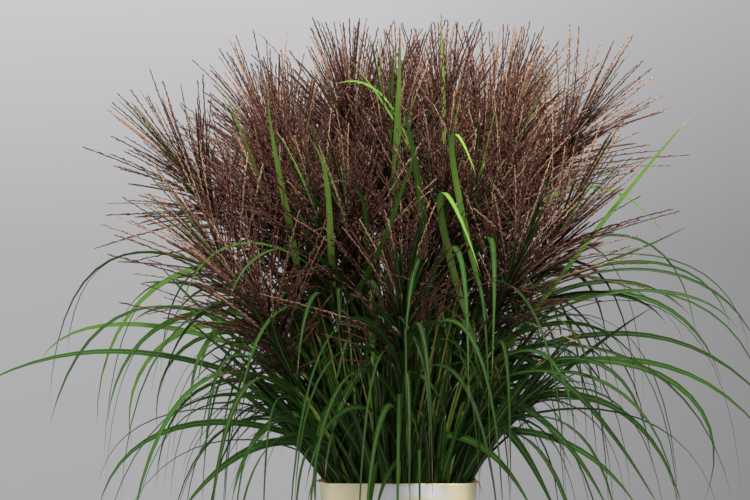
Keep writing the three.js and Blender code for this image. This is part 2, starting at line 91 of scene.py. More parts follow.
# The leaves that show from the front: x and z of root, rise, over and tip, how far root and tip stand behind
# the middle plane, and the width
SHOWN_LEAVES = [
    ((-148, -300, -480, -640), (390, 490, 520, 425), (-20, -60), 10),
    ((-140, -260, -480, -535), (440, 520, 565, 471), (20, 40), 9),
    ((-110, -260, -455, -451), (560, 680, 590, 371), (0, -30), 10),
    ((-120, -270, -420, -435), (470, 600, 540, 377), (-30, -100), 10),
    ((-110, -260, -430, -399), (470, 590, 500, 341), (-40, -20), 11),
    ((-90, -220, -420, -450), (330, 410, 400, 240), (-40, -110), 11),
    ((-60, -150, -260, -335), (330, 380, 350, 225), (-60, -150), 15),
    ((-130, -200, -290, -367), (400, 470, 530, 624), (30, 60), 8),
    ((-110, -220, -340, -400), (400, 520, 590, 525), (10, -60), 10),
    ((-100, -230, -380, -360), (440, 560, 520, 360), (40, 70), 9),
    ((-90, -200, -320, -310), (430, 590, 540, 385), (-50, -120), 13),
    ((-80, -180, -290, -300), (480, 640, 560, 430), (-10, -170), 12),
    ((-70, -150, -230, -250), (340, 440, 380, 250), (-70, -190), 12),
    ((10, 0, -100, -110), (430, 540, 450, 285), (-90, -180), 15),
    ((-40, -90, -135, -122), (400, 470, 380, 235), (-70, -175), 15),
    ((0, -10, -40, -45), (340, 420, 340, 190), (-80, -160), 13),
    ((50, 10, -20, -38), (330, 360, 320, 215), (-80, -170), 10),
    ((20, 28, 34, 33), (350, 440, 370, 200), (-80, -165), 8),
    ((80, 150, 300, 449), (360, 460, 680, 846), (-80, -210), 13),
    ((90, 240, 450, 570), (400, 490, 520, 330), (0, 20), 11),
    ((100, 330, 540, 455), (420, 540, 430, 245), (20, -40), 11),
    ((100, 250, 450, 578), (440, 530, 560, 375), (40, 60), 10),
    ((130, 290, 470, 500), (530, 650, 650, 515), (0, 60), 6),
    ((110, 270, 440, 485), (480, 620, 590, 440), (-20, -60), 10),
    ((120, 230, 370, 440), (500, 600, 620, 535), (30, 20), 9),
    ((80, 240, 390, 430), (360, 480, 420, 235), (-20, -70), 12),
    ((90, 200, 310, 400), (470, 520, 400, 235), (-50, -140), 11),
    ((70, 190, 300, 365), (340, 390, 350, 240), (-50, -120), 12),
    ((60, 170, 270, 320), (400, 460, 350, 235), (-70, -170), 12),
    ((60, 140, 190, 245), (380, 420, 350, 225), (-70, -190), 16),
    ((20, 70, 160, 210), (340, 390, 350, 225), (-80, -200), 13),
    ((120, 240, 340, 395), (600, 780, 740, 665), (-40, -20), 6),
    ((130, 220, 330, 450), (500, 600, 610, 680), (10, 40), 6),
    ((-30, -20, 0, 30), (520, 600, 720, 790), (-190, -370), 14),
    ((40, 35, 25, 5), (620, 700, 800, 855), (-150, -330), 12),
    ((0, 0, 0, 5), (650, 750, 850, 955), (-60, -200), 13),
    ((10, 5, -10, -55), (650, 800, 900, 970), (-30, -120), 9),
    ((60, 40, -10, -75), (600, 760, 850, 925), (-60, -120), 8),
    ((40, 30, -40, -97), (620, 860, 910, 883), (-70, -150), 7),
    ((60, 50, 80, 120), (560, 840, 860, 738), (-150, -330), 9),
    ((30, 20, 70, 127), (480, 780, 780, 590), (-190, -370), 10),
    ((60, 85, 108, 106), (480, 720, 700, 385), (-160, -350), 10),
    ((110, 150, 150, 141), (500, 720, 700, 430), (-150, -340), 10),
    ((-80, -110, -90, -135), (560, 660, 760, 805), (-150, -320), 10),
    ((-130, -160, -190, -195), (560, 680, 780, 865), (-100, -260), 11),
    ((-20, -30, -60, -120), (540, 720, 760, 728), (-170, -340), 7),
    ((80, 75, 70, 65), (600, 760, 880, 985), (0, -30), 10),
    ((130, 150, 200, 245), (560, 720, 850, 935), (-30, -160), 9),
]


# Growth: the same rules and seeds as the solids
def seeded(seed):
    """A small seeded generator, so that every run grows the same plant."""
    mask = 0xFFFFFFFF
    state = seed & mask

    def draw():
        nonlocal state
        state = (state + 0x6D2B79F5) & mask
        mixed = ((state ^ (state >> 15)) * (state | 1)) & mask
        mixed ^= (mixed + (mixed ^ (mixed >> 7)) * (mixed | 61)) & mask
        return ((mixed ^ (mixed >> 14)) & mask) / (mask + 1)

    return draw


def between(draw, low, high):
    return low + (high - low) * draw()


def heading(azimuth):
    return np.array([math.cos(azimuth), math.sin(azimuth), 0.0])


def unit(vectors):
    return vectors / np.linalg.norm(vectors, axis=-1, keepdims=True)


def closest(places, point):
    """The number of the place that is nearest to a point."""
    return int(np.argmin([np.linalg.norm(place - point) for place in places]))


def on_curve(curve, t):
    """Points of a Bezier curve, given by its control points, at each share t."""
    share = np.atleast_1d(np.asarray(t, float))[:, None]
    rungs = [np.broadcast_to(control, (len(share), 3)) for control in curve]
    while len(rungs) > 1:
        rungs = [a + (b - a) * share for a, b in zip(rungs, rungs[1:])]
    return rungs[0]


def along_curve(curve, t):
    return unit(on_curve(np.diff(curve, axis=0), t))


class Clearings:
    """What already grows, as short thick lines, so that each new piece keeps clear of it."""

    def __init__(self):
        self.starts, self.ends = np.zeros((2, 0, 3))
        self.radii = np.zeros(0)
        self.kinds = np.zeros(0, dtype="U5")
        self.culms = np.zeros(0, dtype=int)

    def add(self, lines, kind, culm):
        starts, ends, radii = lines
        self.starts = np.vstack([self.starts, starts])
        self.ends = np.vstack([self.ends, ends])
        self.radii = np.append(self.radii, radii)
        self.kinds = np.append(self.kinds, [kind] * len(radii))
        self.culms = np.append(self.culms, [culm] * len(radii))

    def meets(self, lines, ignored):
        theirs = ~ignored
        starts, ends, radii = self.starts[theirs], self.ends[theirs], self.radii[theirs]
        middles = (starts + ends) / 2
        halves = np.linalg.norm(ends - starts, axis=1) / 2 + radii
        for start, end, radius in zip(*lines):
            half = np.linalg.norm(end - start) / 2 + radius
            reach = half + halves + CLEAR
            close = ((middles - (start + end) / 2) ** 2).sum(1) <= reach**2
            if close.any():
                least = radius + radii[close] + CLEAR
                if (apart(start, end, starts[close], ends[close]) < least**2).any():
                    return True
        return False


def apart(start, end, starts, ends):
    """The squared distance from one line to each of many."""
    mine, theirs, off = end - start, ends - starts, start - starts
    a, e = mine @ mine, (theirs**2).sum(1)
    b, c, f = theirs @ mine, off @ mine, (theirs * off).sum(1)
    spread = a * e - b * b
    s = np.where(spread > 1e-12, np.clip((b * f - c * e) / np.maximum(spread, 1e-12), 0, 1), 0)
    t = (b * s + f) / e
    s = np.where(t < 0, np.clip(-c / a, 0, 1), np.where(t > 1, np.clip((b - c) / a, 0, 1), s))
    t = np.clip(t, 0, 1)
    return ((off + mine * s[:, None] - theirs * t[:, None]) ** 2).sum(1)


grown = Clearings()


def lines_of(curve, steps, radius_at, ease=1):
    rings = (np.arange(steps + 1) / steps) ** ease
    points, radii = on_curve(curve, rings), radius_at(rings)
    return points[:-1], points[1:], np.maximum(radii[:-1], radii[1:])


def strikes_pot(curve, radius):
    """True if a leaf would pass through the pot's wall or the floor."""
    x, y, z = on_curve(curve, np.arange(POT_CHECKS + 1) / POT_CHECKS).T
    off = np.maximum(abs(x), abs(y))
    in_the_soil = (off < CORNER_CROWN + CROWN_RADIUS) & (z > SOIL_TOP)
    low = (z < POT_HEIGHT + radius + 1) & (off < POT_WIDTH / 2 + radius + RIM_ROOM)
    return ((z < radius) | (low & ~in_the_soil)).any()


def crown_centres():
    """The middle of each crown, with the number of culms that rise from it."""
    centres = []
    for quarter in range(4):
        turn = quarter * math.pi / 2
        centres.append((heading(turn + math.pi / 4) * CORNER_CROWN * math.sqrt(2), 4))
        centres.append((heading(turn) * SIDE_CROWN, 3))
        centres.append((heading(turn + math.pi / 4) * INNER_CROWN * math.sqrt(2), 4))
    return centres


def grow_culms(crowns):
    culms = []
    for tuft, (at, count) in enumerate(crowns):
        outward = math.atan2(at[1], at[0])
        for i in range(count):
            draw = seeded(100 * (tuft + 1) + i)
            turn = outward + 2 * math.pi * (i + (0.5 if count == 4 else 0)) / count
            offset = heading(turn) * TILLER
            root = at + offset
            root[2] = SOIL_TOP - CULM_ROOT_DEPTH
            top = at + offset * SPREAD_TILLER
            rounding = math.sqrt(max(abs(top[0]), abs(top[1])) / np.linalg.norm(top))
            sideways = SPREAD_LEFT if top[0] < 0 else SPREAD_RIGHT
            top[0] = top[0] * sideways * rounding + between(draw, -TOP_SHAKE, TOP_SHAKE)
            top[1] = top[1] * SPREAD_Y * rounding + between(draw, -TOP_SHAKE, TOP_SHAKE)
            spread = math.hypot(top[0], top[1]) / DOME_RADIUS
            deep = top[1] / DOME_RADIUS
            sink = DOME_BACK * deep**2 if deep > 0 else DOME_FRONT * (-deep) ** DOME_FRONT_CURVE
            top[2] = DOME_TOP + DOME_TILT * top[0] - DOME_FALL * spread**3 - sink
            top[2] += between(draw, -DOME_ROUGH, DOME_ROUGH)
            lean = math.radians(DOME_LEAN * spread + between(draw, -LEAN_SHAKE, LEAN_SHAKE))
            azimuth = math.atan2(top[1], top[0]) + between(draw, -TURN_SHAKE, TURN_SHAKE)
            aim = heading(azimuth) * math.sin(lean) + UP * math.cos(lean)
            tall = top[2] - root[2]
            rise = root + (top - root) * BOW_START
            rise[2] = root[2] + BOW_RISE * tall
            curve = np.array([root, rise, top - aim * BOW_SETTLE * tall, top])
            culms.append({"tuft": tuft, "number": len(culms), "curve": curve, "aim": aim, "azimuth": azimuth})
    return culms


def culm_radius(t):
    return CULM_ROOT_RADIUS + (CULM_TIP_RADIUS - CULM_ROOT_RADIUS) * t


def blade_half(wide):
    return lambda t: (wide / 2) * np.minimum(1, BLADE_NECK + BLADE_SWELL * t) * (1 - t**BLADE_POINT)


def seen_at(x, z, depth):
    """Slides a point of the middle plane along its line of sight until it stands at the given depth."""
    flat = np.array([x, 0.0, z])
    return flat + (EYE - flat) * (depth / EYE[1])


def on_culm(culm, t):
    step = min(int(t * CULM_STEPS), CULM_STEPS - 1)
    start, end = on_curve(culm["curve"], [step / CULM_STEPS, (step + 1) / CULM_STEPS])
    return start + (end - start) * (t * CULM_STEPS - step)


# The shares along a culm where a leaf may leave it
PLACES = 0.1 + 0.02 * np.arange(44)


def nearest_places(point):
    """The culms in order of how near they pass to a point, each with the share along it that is nearest."""
    off = np.linalg.norm(culm_places - point, axis=2)
    order = np.argsort(off.min(1), kind="stable")
    return [(culms[i], PLACES[off[i].argmin()]) for i in order]


def try_leaf(culm, t, points, wide, roll, light, checked=True):
    """A leaf, if it is clear of what already grows. Its roll turns its upper face to one side."""
    root = on_culm(culm, t)
    curve = np.array([root, *points])
    across = unit(np.cross(UP, (curve[3] - root) * [1, 1, 0]))
    across = across * math.cos(roll(across)) + UP * math.sin(roll(across))
    lines = lines_of(curve, BLADE_STEPS, blade_half(wide), BLADE_EASE)
    if strikes_pot(curve, wide / 2):
        return None
    if checked:
        own_culm = (grown.kinds == "culm") & (grown.culms == culm["number"])
        if grown.meets(lines, own_culm):
            return None
        grown.add(lines, "leaf", culm["number"])
    return {"culm": culm, "tuft": culm["tuft"], "t": t, "curve": curve, "wide": wide, "across": across,
            "light": light}


def to_the_front(across):
    """The roll that turns the upper face of a leaf that reaches sideways towards the front."""
    return SHOWN_ROLL * across[1]


def grow_shown_leaves():
    leaves = []
    for number, (x, z, deep, wide) in enumerate(SHOWN_LEAVES):
        places = nearest_places(seen_at(x[0], z[0], deep[0]))
        for attempt in range(SHOWN_TRIES):
            draw = seeded(1000 + 100 * number + attempt)
            culm, t = places[attempt // TRIES_A_PLACE]
            shake = FIRST_SHAKE + attempt
            sway = between(draw, -shake, shake)
            points = []
            for i in (1, 2, 3):
                depth = deep[0] + (deep[1] - deep[0]) * (i / 3) + sway * i / 3
                point = seen_at(x[i], z[i], depth)
                points.append(point + UP * between(draw, -0.1, 0.1) * shake)
            t = min(HIGHEST_PLACE, t + between(draw, -0.03, 0.03))
            leaf = try_leaf(culm, t, points, wide, to_the_front, SHOWN_LIGHT)
            if leaf:
                leaves.append(leaf)
                break
    return leaves


def grow_by_rule(count, seed, lowest, highest, habit, narrow=8, broad=13, light=RULED_LIGHT, checked=True):
    """Leaves of one habit, each from the culm that passes nearest to where it should be."""
    leaves = []
    for number in range(count):
        for attempt in range(RULED_TRIES):
            draw = seeded(seed + 100 * number + attempt)
            azimuth = number * GOLDEN + between(draw, -0.2, 0.2)
            height = between(draw, lowest, highest)
            stand_off, leaf_from = habit(draw, azimuth, height)
            culm, t = nearest_places(heading(azimuth) * stand_off + UP * height)[attempt % 3]
            points = leaf_from(on_culm(culm, t), along_curve(culm["curve"], t)[0])
            wide = between(draw, narrow, broad)
            roll = between(draw, -RULED_ROLL, RULED_ROLL)
            leaf = try_leaf(culm, t, points, wide, lambda across: roll, light, checked)
            if leaf:
                leaves.append(leaf)
                break
    return leaves


# How far from the middle a bowing leaf begins at the floor, and how much further for each millimetre up
OFF_AT_FLOOR, OFF_BY_HEIGHT = 70, 0.2
# The height above which leaves that spread stand further out, and the height that doubles their distance
SPREADS_FROM, SPREADS_TWICE = 360, 160


def bowing(reach, rise, drop, turn, first, over, lowest=0, off=None):
    """The habit of a leaf that leaves its culm, bows over and falls towards its tip.

    Reach, rise, drop and off, its distance from the middle, are ranges. First gives its first control point
    as shares of rise and reach, and over its next as shares of reach and rise.
    """
    def habit(draw, azimuth, height):
        far, tall, fall = between(draw, *reach), between(draw, *rise), between(draw, *drop)
        out = heading(azimuth + between(draw, -turn, turn))

        def leaf_from(root, along):
            tip = root + out * far
            tip[2] = max(lowest, root[2] - fall)
            bow = root + along * first[0] * tall + out * first[1] * far
            return [bow, root + out * over[0] * far + UP * tall * over[1], tip]

        return between(draw, *off) if off else OFF_AT_FLOOR + OFF_BY_HEIGHT * height, leaf_from

    return habit


def standing(reach, rise, turn, off, first, over, spreads=0):
    """The habit of a leaf that runs up along its culm, with its sizes given in the same way.

    One that spreads stands further out where it grows higher.
    """
    def habit(draw, azimuth, height):
        far, tall = between(draw, *reach), between(draw, *rise)
        out = heading(azimuth + (between(draw, -turn, turn) if turn else 0))

        def leaf_from(root, along):
            middle = root + along * over[0] * tall + out * over[1] * far
            return [root + along * first * tall, middle, root + along * tall + out * far]

        wider = 1 + spreads * max(0, height - SPREADS_FROM) / SPREADS_TWICE
        return between(draw, *off) * wider, leaf_from

    return habit


arching = bowing((210, 400), (60, 170), (190, -60), turn=0.35, first=(0.8, 0.22), over=(0.85, 0.8), lowest=40)
hanging = bowing((170, 380), (50, 150), (60, 260), turn=0.3, first=(1, 0.3), over=(0.95, 1), lowest=60)
filling = bowing((60, 230), (50, 170), (-60, 70), turn=0.8, first=(1, 0.15), over=(0.7, 1), off=(20, 110))
upright = standing((20, 90), (150, 260), turn=0, off=(20, 150), first=0.4, over=(0.8, 0.3))
drawn_up = standing((5, 70), (150, 290), turn=0.9, off=(10, 110), first=0.35, over=(0.75, 0.25), spreads=1)
among_the_feet = standing((20, 110), (90, 170), turn=0.9, off=(90, 220), first=0.4, over=(0.8, 0.4))


def stalk_line(culm):
    foot = culm["curve"][3] + culm["aim"] * GAP
    return np.array([foot, foot + culm["aim"] * STALK])


def stalk_radius(t):
    return CULM_TIP_RADIUS * (1 - 0.3 * t)


def raceme_radius(t):
    return RACEME_RADIUS * np.minimum(1, 0.33 + 1.4 * t)


def raceme(culm, share, turn, opening, long):
    """The middle line of a raceme that leaves the stalk at a share of its height."""
    side = np.cross(UP, heading(culm["azimuth"]))
    front = np.cross(side, culm["aim"])
    outward = side * math.cos(turn) + front * math.sin(turn)
    foot = on_curve(stalk_line(culm), RACEME_FIRST + RACEME_SPAN * share)[0]
    start = culm["aim"] * math.cos(opening) + outward * math.sin(opening)
    tip = foot + start * 0.93 * long + outward * 0.05 * long
    tip[2] -= RACEME_SAG * long * math.hypot(start[0], start[1])
    return np.array([foot, foot + start * 0.5 * long, tip]), unit(np.cross(UP, outward))


def grow_racemes(culm):
    racemes = []
    number = culm["number"]
    for i in range(RACEMES):
        share = i / (RACEMES - 1)
        for attempt in range(RACEME_TRIES):
            draw = seeded(20000 + 1000 * number + 40 * i + attempt)
            loose = 1 + attempt / 10
            turn = i * GOLDEN + number + between(draw, -0.3, 0.3) * loose
            opening = RACEME_WIDEST + (RACEME_CLOSEST - RACEME_WIDEST) * share
            opening = math.radians(opening + between(draw, -4, 4) * loose)
            long = between(draw, RACEME_SHORTEST, RACEME_LONGEST) * (1 - 0.012 * attempt)
            long *= 1 - RACEME_SHORTENING * share
            curve, across = raceme(culm, share, turn, opening, long)
            lines = lines_of(curve, 2, raceme_radius)
            own = (grown.kinds != "leaf") & (grown.culms == number)
            if not grown.meets(lines, own):
                grown.add(lines, "plume", number)
                racemes.append((curve, across))
                break
    return racemes


crowns = crown_centres()
crown_places = [at for at, _ in crowns]
culms = grow_culms(crowns)
culm_places = np.array([on_curve(culm["curve"], PLACES) for culm in culms])
for culm in culms:
    grown.add(lines_of(culm["curve"], CULM_STEPS, culm_radius), "culm", culm["number"])
for culm in culms:
    grown.add(lines_of(stalk_line(culm), 1, stalk_radius), "plume", culm["number"])
leaves = grow_shown_leaves()
plumes = [grow_racemes(culm) for culm in culms]
leaves += grow_by_rule(52, 5000, 300, 610, arching)
leaves += grow_by_rule(16, 9000, 470, 690, upright)
print("grown:", len(culms), "culms,", len(leaves), "leaves,", sum(map(len, plumes)), "racemes")


# Finer growth, for the looks alone
ROOT_HEIGHT = SOIL_TOP - 3
INSIDE_RIM = 106


def young_shoots(count, seed):
    """Slim bright stems without a plume, between the culms."""
    shoots = []
    for i in range(count):
        draw = seeded(seed + i)
        azimuth = i * GOLDEN
        off = 100 * math.sqrt(between(draw, 0.04, 0.92))
        square = min(1 / max(abs(math.cos(azimuth)), abs(math.sin(azimuth))), 1.2)
        root = heading(azimuth) * min(off * square, 108) + UP * ROOT_HEIGHT
        tall = between(draw, 190, 340)
        out = heading(azimuth + between(draw, -0.4, 0.4)) * min(0.55, 0.75 * off / 100)
        out = out * between(draw, 0.3, 1)
        rise = root + (UP + out * 0.5) * 0.33 * tall
        over = rise + (UP + out) * 0.34 * tall
        curve = np.array([root, rise, over, over + (UP + out * 1.2) * 0.33 * tall])
        shoots.append({"tuft": closest(crown_places, root * [1, 1, 0]), "curve": curve})
    return shoots


def from_the_soil(count, seed, nearest, furthest, shortest, longest):
    """Leaves that rise from the soil, close together, and fan out over the rim."""
    risen = []
    for i in range(count):
        draw = seeded(seed + i)
        azimuth = i * GOLDEN
        square = 1 / max(abs(math.cos(azimuth)), abs(math.sin(azimuth)))
        off = nearest + (furthest - nearest) * math.sqrt(draw())
        root = heading(azimuth) * min(off * square, 1.22 * furthest) + UP * ROOT_HEIGHT
        tall = between(draw, shortest, longest)
        out = heading(azimuth + between(draw, -0.3, 0.3))
        slope = between(draw, 0.2, 1.15) * off / furthest
        at_rim = min(slope, (INSIDE_RIM - off) / (POT_HEIGHT - SOIL_TOP))
        side = heading(between(draw, 0, math.tau)) * between(draw, 3, 22)
        rise = root + (UP + out * at_rim) * 0.33 * tall
        over = rise + (UP + out * (slope + at_rim) / 2) * 0.38 * tall + side
        curve = [root, rise, over, over + (UP * 0.7 + out * 1.15 * slope) * 0.3 * tall + side]
        across = heading(between(draw, 0, math.tau))
        leaf = {"tuft": closest(crown_places, root * [1, 1, 0]), "light": 0, "curve": np.array(curve)}
        risen.append({**leaf, "across": across, "wide": between(draw, 8, 15)})
    return risen


fine_leaves = grow_by_rule(98, 50000, 300, 570, hanging, narrow=5, broad=9, checked=False)
inner_leaves = []
# Leaves for the depth: the last value of each row is the painted light their colour gets, none for the lower
# rows, some for the highest
for count, seed, lowest, highest, habit, narrow, broad, light in (
    (260, 30000, 292, 600, drawn_up, 7, 14, 0),
    (230, 90000, 320, 600, filling, 6, 13, 0),
    (190, 97000, 400, 610, among_the_feet, 8, 15, 0),
    (230, 40000, 480, 700, drawn_up, 4, 9, 0.35),
):
    inner_leaves += grow_by_rule(count, seed, lowest, highest, habit, narrow, broad, light, checked=False)
inner_leaves += from_the_soil(130, 70000, 5, 66, 170, 340)
inner_leaves += from_the_soil(170, 75000, 62, 98, 110, 280)
shoots = young_shoots(90, 95000)

# A dry leaf over each front corner of the rim
DRY_LEAVES = [
    (11, np.array([(-98.0, -86, 276), (-112, -92, 312), (-126, -97, 310), (-131, -100, 262)])),
    (5, np.array([(98.0, -88, 276), (108, -95, 308), (117, -99, 310), (120, -101, 284)])),
]


def inside(curve, margin):
    """A curve held back inside the solids' box, with room for its own width."""
    low, high = np.array(CAD_BOX) / MM
    return np.clip(curve, low + margin * np.array([1, 1, 0.5]), high - margin)


LEAF_ROOM, RACEME_ROOM = 16, 4
for leaf in fine_leaves + inner_leaves:
    leaf["curve"] = inside(leaf["curve"], LEAF_ROOM)

FINE_RACEMES, FINE_WIDEST, FINE_CLOSING = 45, 74, 69
FINE_SHORTEST, FINE_LONGEST, FINE_SHORTENING = 146, 236, 0.28
INNER_RACEMES, INNER_LOWEST, INNER_SPAN = 38, -0.6, 1.4


def fine_racemes(culm):
    """The racemes between those that the solids have: the same fan, filled."""
    racemes = []
    for i in range(FINE_RACEMES):
        share = (i + 0.5) / FINE_RACEMES
        draw = seeded(600000 + 1000 * culm["number"] + i)
        turn = (i + 0.37) * GOLDEN + 2.1 * culm["number"] + between(draw, -0.4, 0.4)
        opening = math.radians(FINE_WIDEST - FINE_CLOSING * share**0.5 + between(draw, -12, 12))
        long = between(draw, FINE_SHORTEST, FINE_LONGEST) * (1.12 - FINE_SHORTENING * share)
        curve, across = raceme(culm, share, turn, opening, long)
        racemes.append((inside(curve, RACEME_ROOM), across))
    return racemes


def inner_racemes(culm):
    """Short plain racemes round the foot of the plume, which fill its depth."""
    racemes = []
    for i in range(INNER_RACEMES):
        share = INNER_LOWEST + INNER_SPAN * (i + 0.5) / INNER_RACEMES
        draw = seeded(900000 + 1000 * culm["number"] + i)
        opening = math.radians(between(draw, 12, 78 - 45 * max(share, 0)))
        long = between(draw, 80, 140 + 55 * max(share, 0))
        racemes.append(raceme(culm, share, between(draw, 0, math.tau), opening, long))
    return racemes


# One raceme that hangs in front, below the plumes: x, z and depth of its foot, middle and tip
HANGING_RACEME = [(36, 568, -222), (39, 515, -246), (37, 450, -248)]
hanging_curve = np.array([seen_at(*place) for place in HANGING_RACEME])
hanging_plume = closest([culm["curve"][3] for culm in culms], hanging_curve[0])


# Pieces
def new_mesh(name, bm):
    mesh = bpy.data.meshes.new(name)
    bm.to_mesh(mesh)
    bm.free()
    return mesh


def placed(name, mesh, node):
    """A finished piece, which stands for a node of the solids."""
    piece = bpy.data.objects.new(name, mesh)
    bpy.context.scene.collection.objects.link(piece)
    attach(piece, "root")
    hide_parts(node)


class Pattern:
    """A straight piece that stands on the origin and is one unit tall, ready to be bent along a curve."""

    def __init__(self, name, bm):
        bmesh.ops.recalc_face_normals(bm, faces=bm.faces)
        self.mesh = new_mesh(name, bm)
        count = len(self.mesh.vertices)
        self.shape, self.grain = np.empty((count, 3)), np.zeros(count)
        self.mesh.vertices.foreach_get("co", self.shape.ravel())
        if "grain" in self.mesh.attributes:
            self.mesh.attributes["grain"].data.foreach_get("value", self.grain)


def shift(bm, verts, x, y, z):
    bmesh.ops.translate(bm, verts=verts, vec=(x, y, z))


def stretch(bm, verts, x, y, z):
    bmesh.ops.scale(bm, verts=verts, vec=(x, y, z))


def swing(bm, verts, angle, axis):
    bmesh.ops.rotate(bm, verts=verts, matrix=Matrix.Rotation(angle, 3, axis))


def smooth(bm):
    for face in bm.faces:
        face.smooth = True


def soften(bm, sharpest=50):
    """Smooth faces, with a sharp line kept at each edge that turns more than the given degrees."""
    bmesh.ops.recalc_face_normals(bm, faces=bm.faces)
    smooth(bm)
    for edge in bm.edges:
        edge.smooth = len(edge.link_faces) == 2 and edge.calc_face_angle() < math.radians(sharpest)


def tip_of(bm):
    return [vert for vert in bm.verts if vert.co.z > 0.999]


def cone(bm, sides, foot, tip, long):
    """A closed cone that stands on the origin."""
    made = bmesh.ops.create_cone(bm, cap_ends=True, segments=sides, radius1=foot, radius2=tip, depth=long)
    shift(bm, made["verts"], 0, 0, long / 2)
    return made["verts"]


def rod(sides, cuts, foot=1, tip=1, long=1, turn=0):
    """A new mesh with one cone in it, cut into rings."""
    bm = bmesh.new()
    cone(bm, sides, foot, tip, long)
    swing(bm, bm.verts, turn, "Z")
    sloping = [edge for edge in bm.edges if abs((edge.verts[0].co - edge.verts[1].co).z) > 1e-6]
    bmesh.ops.subdivide_edges(bm, edges=sloping, cuts=cuts, use_grid_fill=True)
    return bm


def rod_pattern(name, sides, cuts):
    bm = rod(sides, cuts)
    soften(bm)
    return Pattern(name, bm)


def blade_pattern(rows=16):
    """A broad leaf: two strips that meet at the midrib, one unit thick, with a fine tip."""
    bm = bmesh.new()
    bmesh.ops.create_grid(bm, x_segments=2, y_segments=rows, size=1)
    swing(bm, bm.verts, math.pi / 2, "X")
    shift(bm, bm.verts, 0, 0, 1)
    stretch(bm, bm.verts, 1, 1, 0.5)
    bmesh.ops.solidify(bm, geom=bm.faces, thickness=1)
    tip = tip_of(bm)
    bmesh.ops.pointmerge(bm, verts=tip, merge_co=(0, sum(vert.co.y for vert in tip) / len(tip), 1))
    soften(bm)
    return Pattern("blade", bm)


def inner_blade_pattern(cuts=7):
    """A plainer leaf for the depth of the plant: three-sided, keel down, with a fine tip."""
    bm = rod(3, cuts, turn=math.pi)
    bmesh.ops.pointmerge(bm, verts=tip_of(bm), merge_co=(0, 0, 1))
    soften(bm)
    return Pattern("inner_blade", bm)


# The length that a raceme is drawn at, and the place and distance of its joints
RACEME_LONG = 205
FIRST_SPIKELET, FIRST_HAIR, SPIKELET_GAP = 8, 10, 8.8
# The raceme pattern that is silky with hairs
SILKY = 5
ABOUT_A_TURN = 6.28


def mark_rising(layer, made, low, high):
    """Gives new points a mark that runs from low at their foot to high at their tip."""
    heights = [vert.co.z for vert in made]
    foot, tall = min(heights), max(heights) - min(heights)
    for vert in made:
        vert[layer] = low + (high - low) * (vert.co.z - foot) / tall


def raceme_pattern(number):
    """A slim axis with a pair of spikelets at each joint and a few pale hairs, drawn at its real size."""
    draw = seeded(7000 + number)
    bm = rod(3, 3, foot=0.9, tip=0.4, long=RACEME_LONG)
    grain = bm.verts.layers.float.new("grain")
    joints = int((RACEME_LONG - FIRST_HAIR) / SPIKELET_GAP)
    for joint in range(joints):
        slim = 1 - 0.4 * joint / joints
        for half in (0, 1):
            z = FIRST_SPIKELET + (joint + 0.5 * half) * SPIKELET_GAP + between(draw, -1, 1)
            aside = joint * GOLDEN + half * math.pi + between(draw, -0.6, 0.6)
            spread = math.radians(between(draw, 2, 8))
            long, thick = between(draw, 10, 14) * slim, between(draw, 1.0, 1.35) * slim
            made = bmesh.ops.create_uvsphere(bm, u_segments=3, v_segments=2, radius=1)["verts"]
            stretch(bm, made, thick, thick, long / 2)
            shift(bm, made, 0, 0, long / 2)
            mark_rising(grain, made, 0.15, 1)
            swing(bm, made, spread, "Y")
            shift(bm, made, 0.45 * slim, 0, z)
            swing(bm, made, aside, "Z")
        if joint % 5 == number or (number == SILKY and joint % 2):
            hair = cone(bm, 3, 0.16, 0, 6)
            mark_rising(grain, hair, 2, 2)
            swing(bm, hair, math.radians(between(draw, 15, 40)), "Y")
            shift(bm, hair, 0.4, 0, FIRST_HAIR + joint * SPIKELET_GAP)
            swing(bm, hair, between(draw, 0, ABOUT_A_TURN), "Z")
    bmesh.ops.remove_doubles(bm, verts=bm.verts, dist=1e-5)
    stretch(bm, bm.verts, 1, 1, 1 / RACEME_LONG)
    smooth(bm)
    return Pattern(f"raceme_{number}", bm)


def plain_raceme_pattern(rings=10):
    """A raceme for the depth of a plume: a rod that swells at each joint."""
    bm = rod(3, rings - 1)
    grain = bm.verts.layers.float.new("grain")
    for vert in bm.verts:
        ring = round(vert.co.z * rings)
        vert[grain] = 0.25 + 0.4 * (ring % 2)
        vert.co.xy = vert.co.xy * (1.12 if ring % 2 else 0.92) * (0.4 if ring == rings else 1)
    smooth(bm)
    return Pattern("plain_raceme", bm)


def crown_pattern():
    """A turned root stock with a low mound."""
    bm = bmesh.new()
    outline = [
        (CROWN_RADIUS - 1, -30), (CROWN_RADIUS, -8), (CROWN_RADIUS, -1), (CROWN_RADIUS - 2, 2),
        (CROWN_NECK + 1, CROWN_MOUND - 3), (CROWN_NECK - 5, CROWN_MOUND - 1), (0, CROWN_MOUND),
    ]
    verts = [bm.verts.new((radius, 0, z)) for radius, z in outline]
    edges = [bm.edges.new(pair) for pair in zip(verts, verts[1:])]
    bmesh.ops.spin(bm, geom=verts + edges, axis=(0, 0, 1), cent=(0, 0, 0), angle=math.tau, steps=28,
                   use_merge=True)
    bmesh.ops.remove_doubles(bm, verts=bm.verts, dist=1e-3)
    bmesh.ops.holes_fill(bm, edges=bm.edges)
    soften(bm, 60)
    return Pattern("crown", bm)


def bend(shape, curve, across, wide, high, twist=0, fold=0):
    """Bends a pattern along a curve: x lies across it, y points to its upper face, z is the share along."""
    t = np.clip(shape[:, 2], 0, 1)
    along = along_curve(curve, t)
    side = unit(across - along * (along @ across)[:, None])
    upper = np.cross(along, side)
    angle = (twist * t)[:, None]
    side, upper = side * np.cos(angle) + upper * np.sin(angle), upper * np.cos(angle) - side * np.sin(angle)
    x = (shape[:, 0] * wide(t))[:, None]
    y = (shape[:, 1] * high(t))[:, None] + fold * abs(x)
    return on_curve(curve, shape[:, 2]) + side * x + upper * y


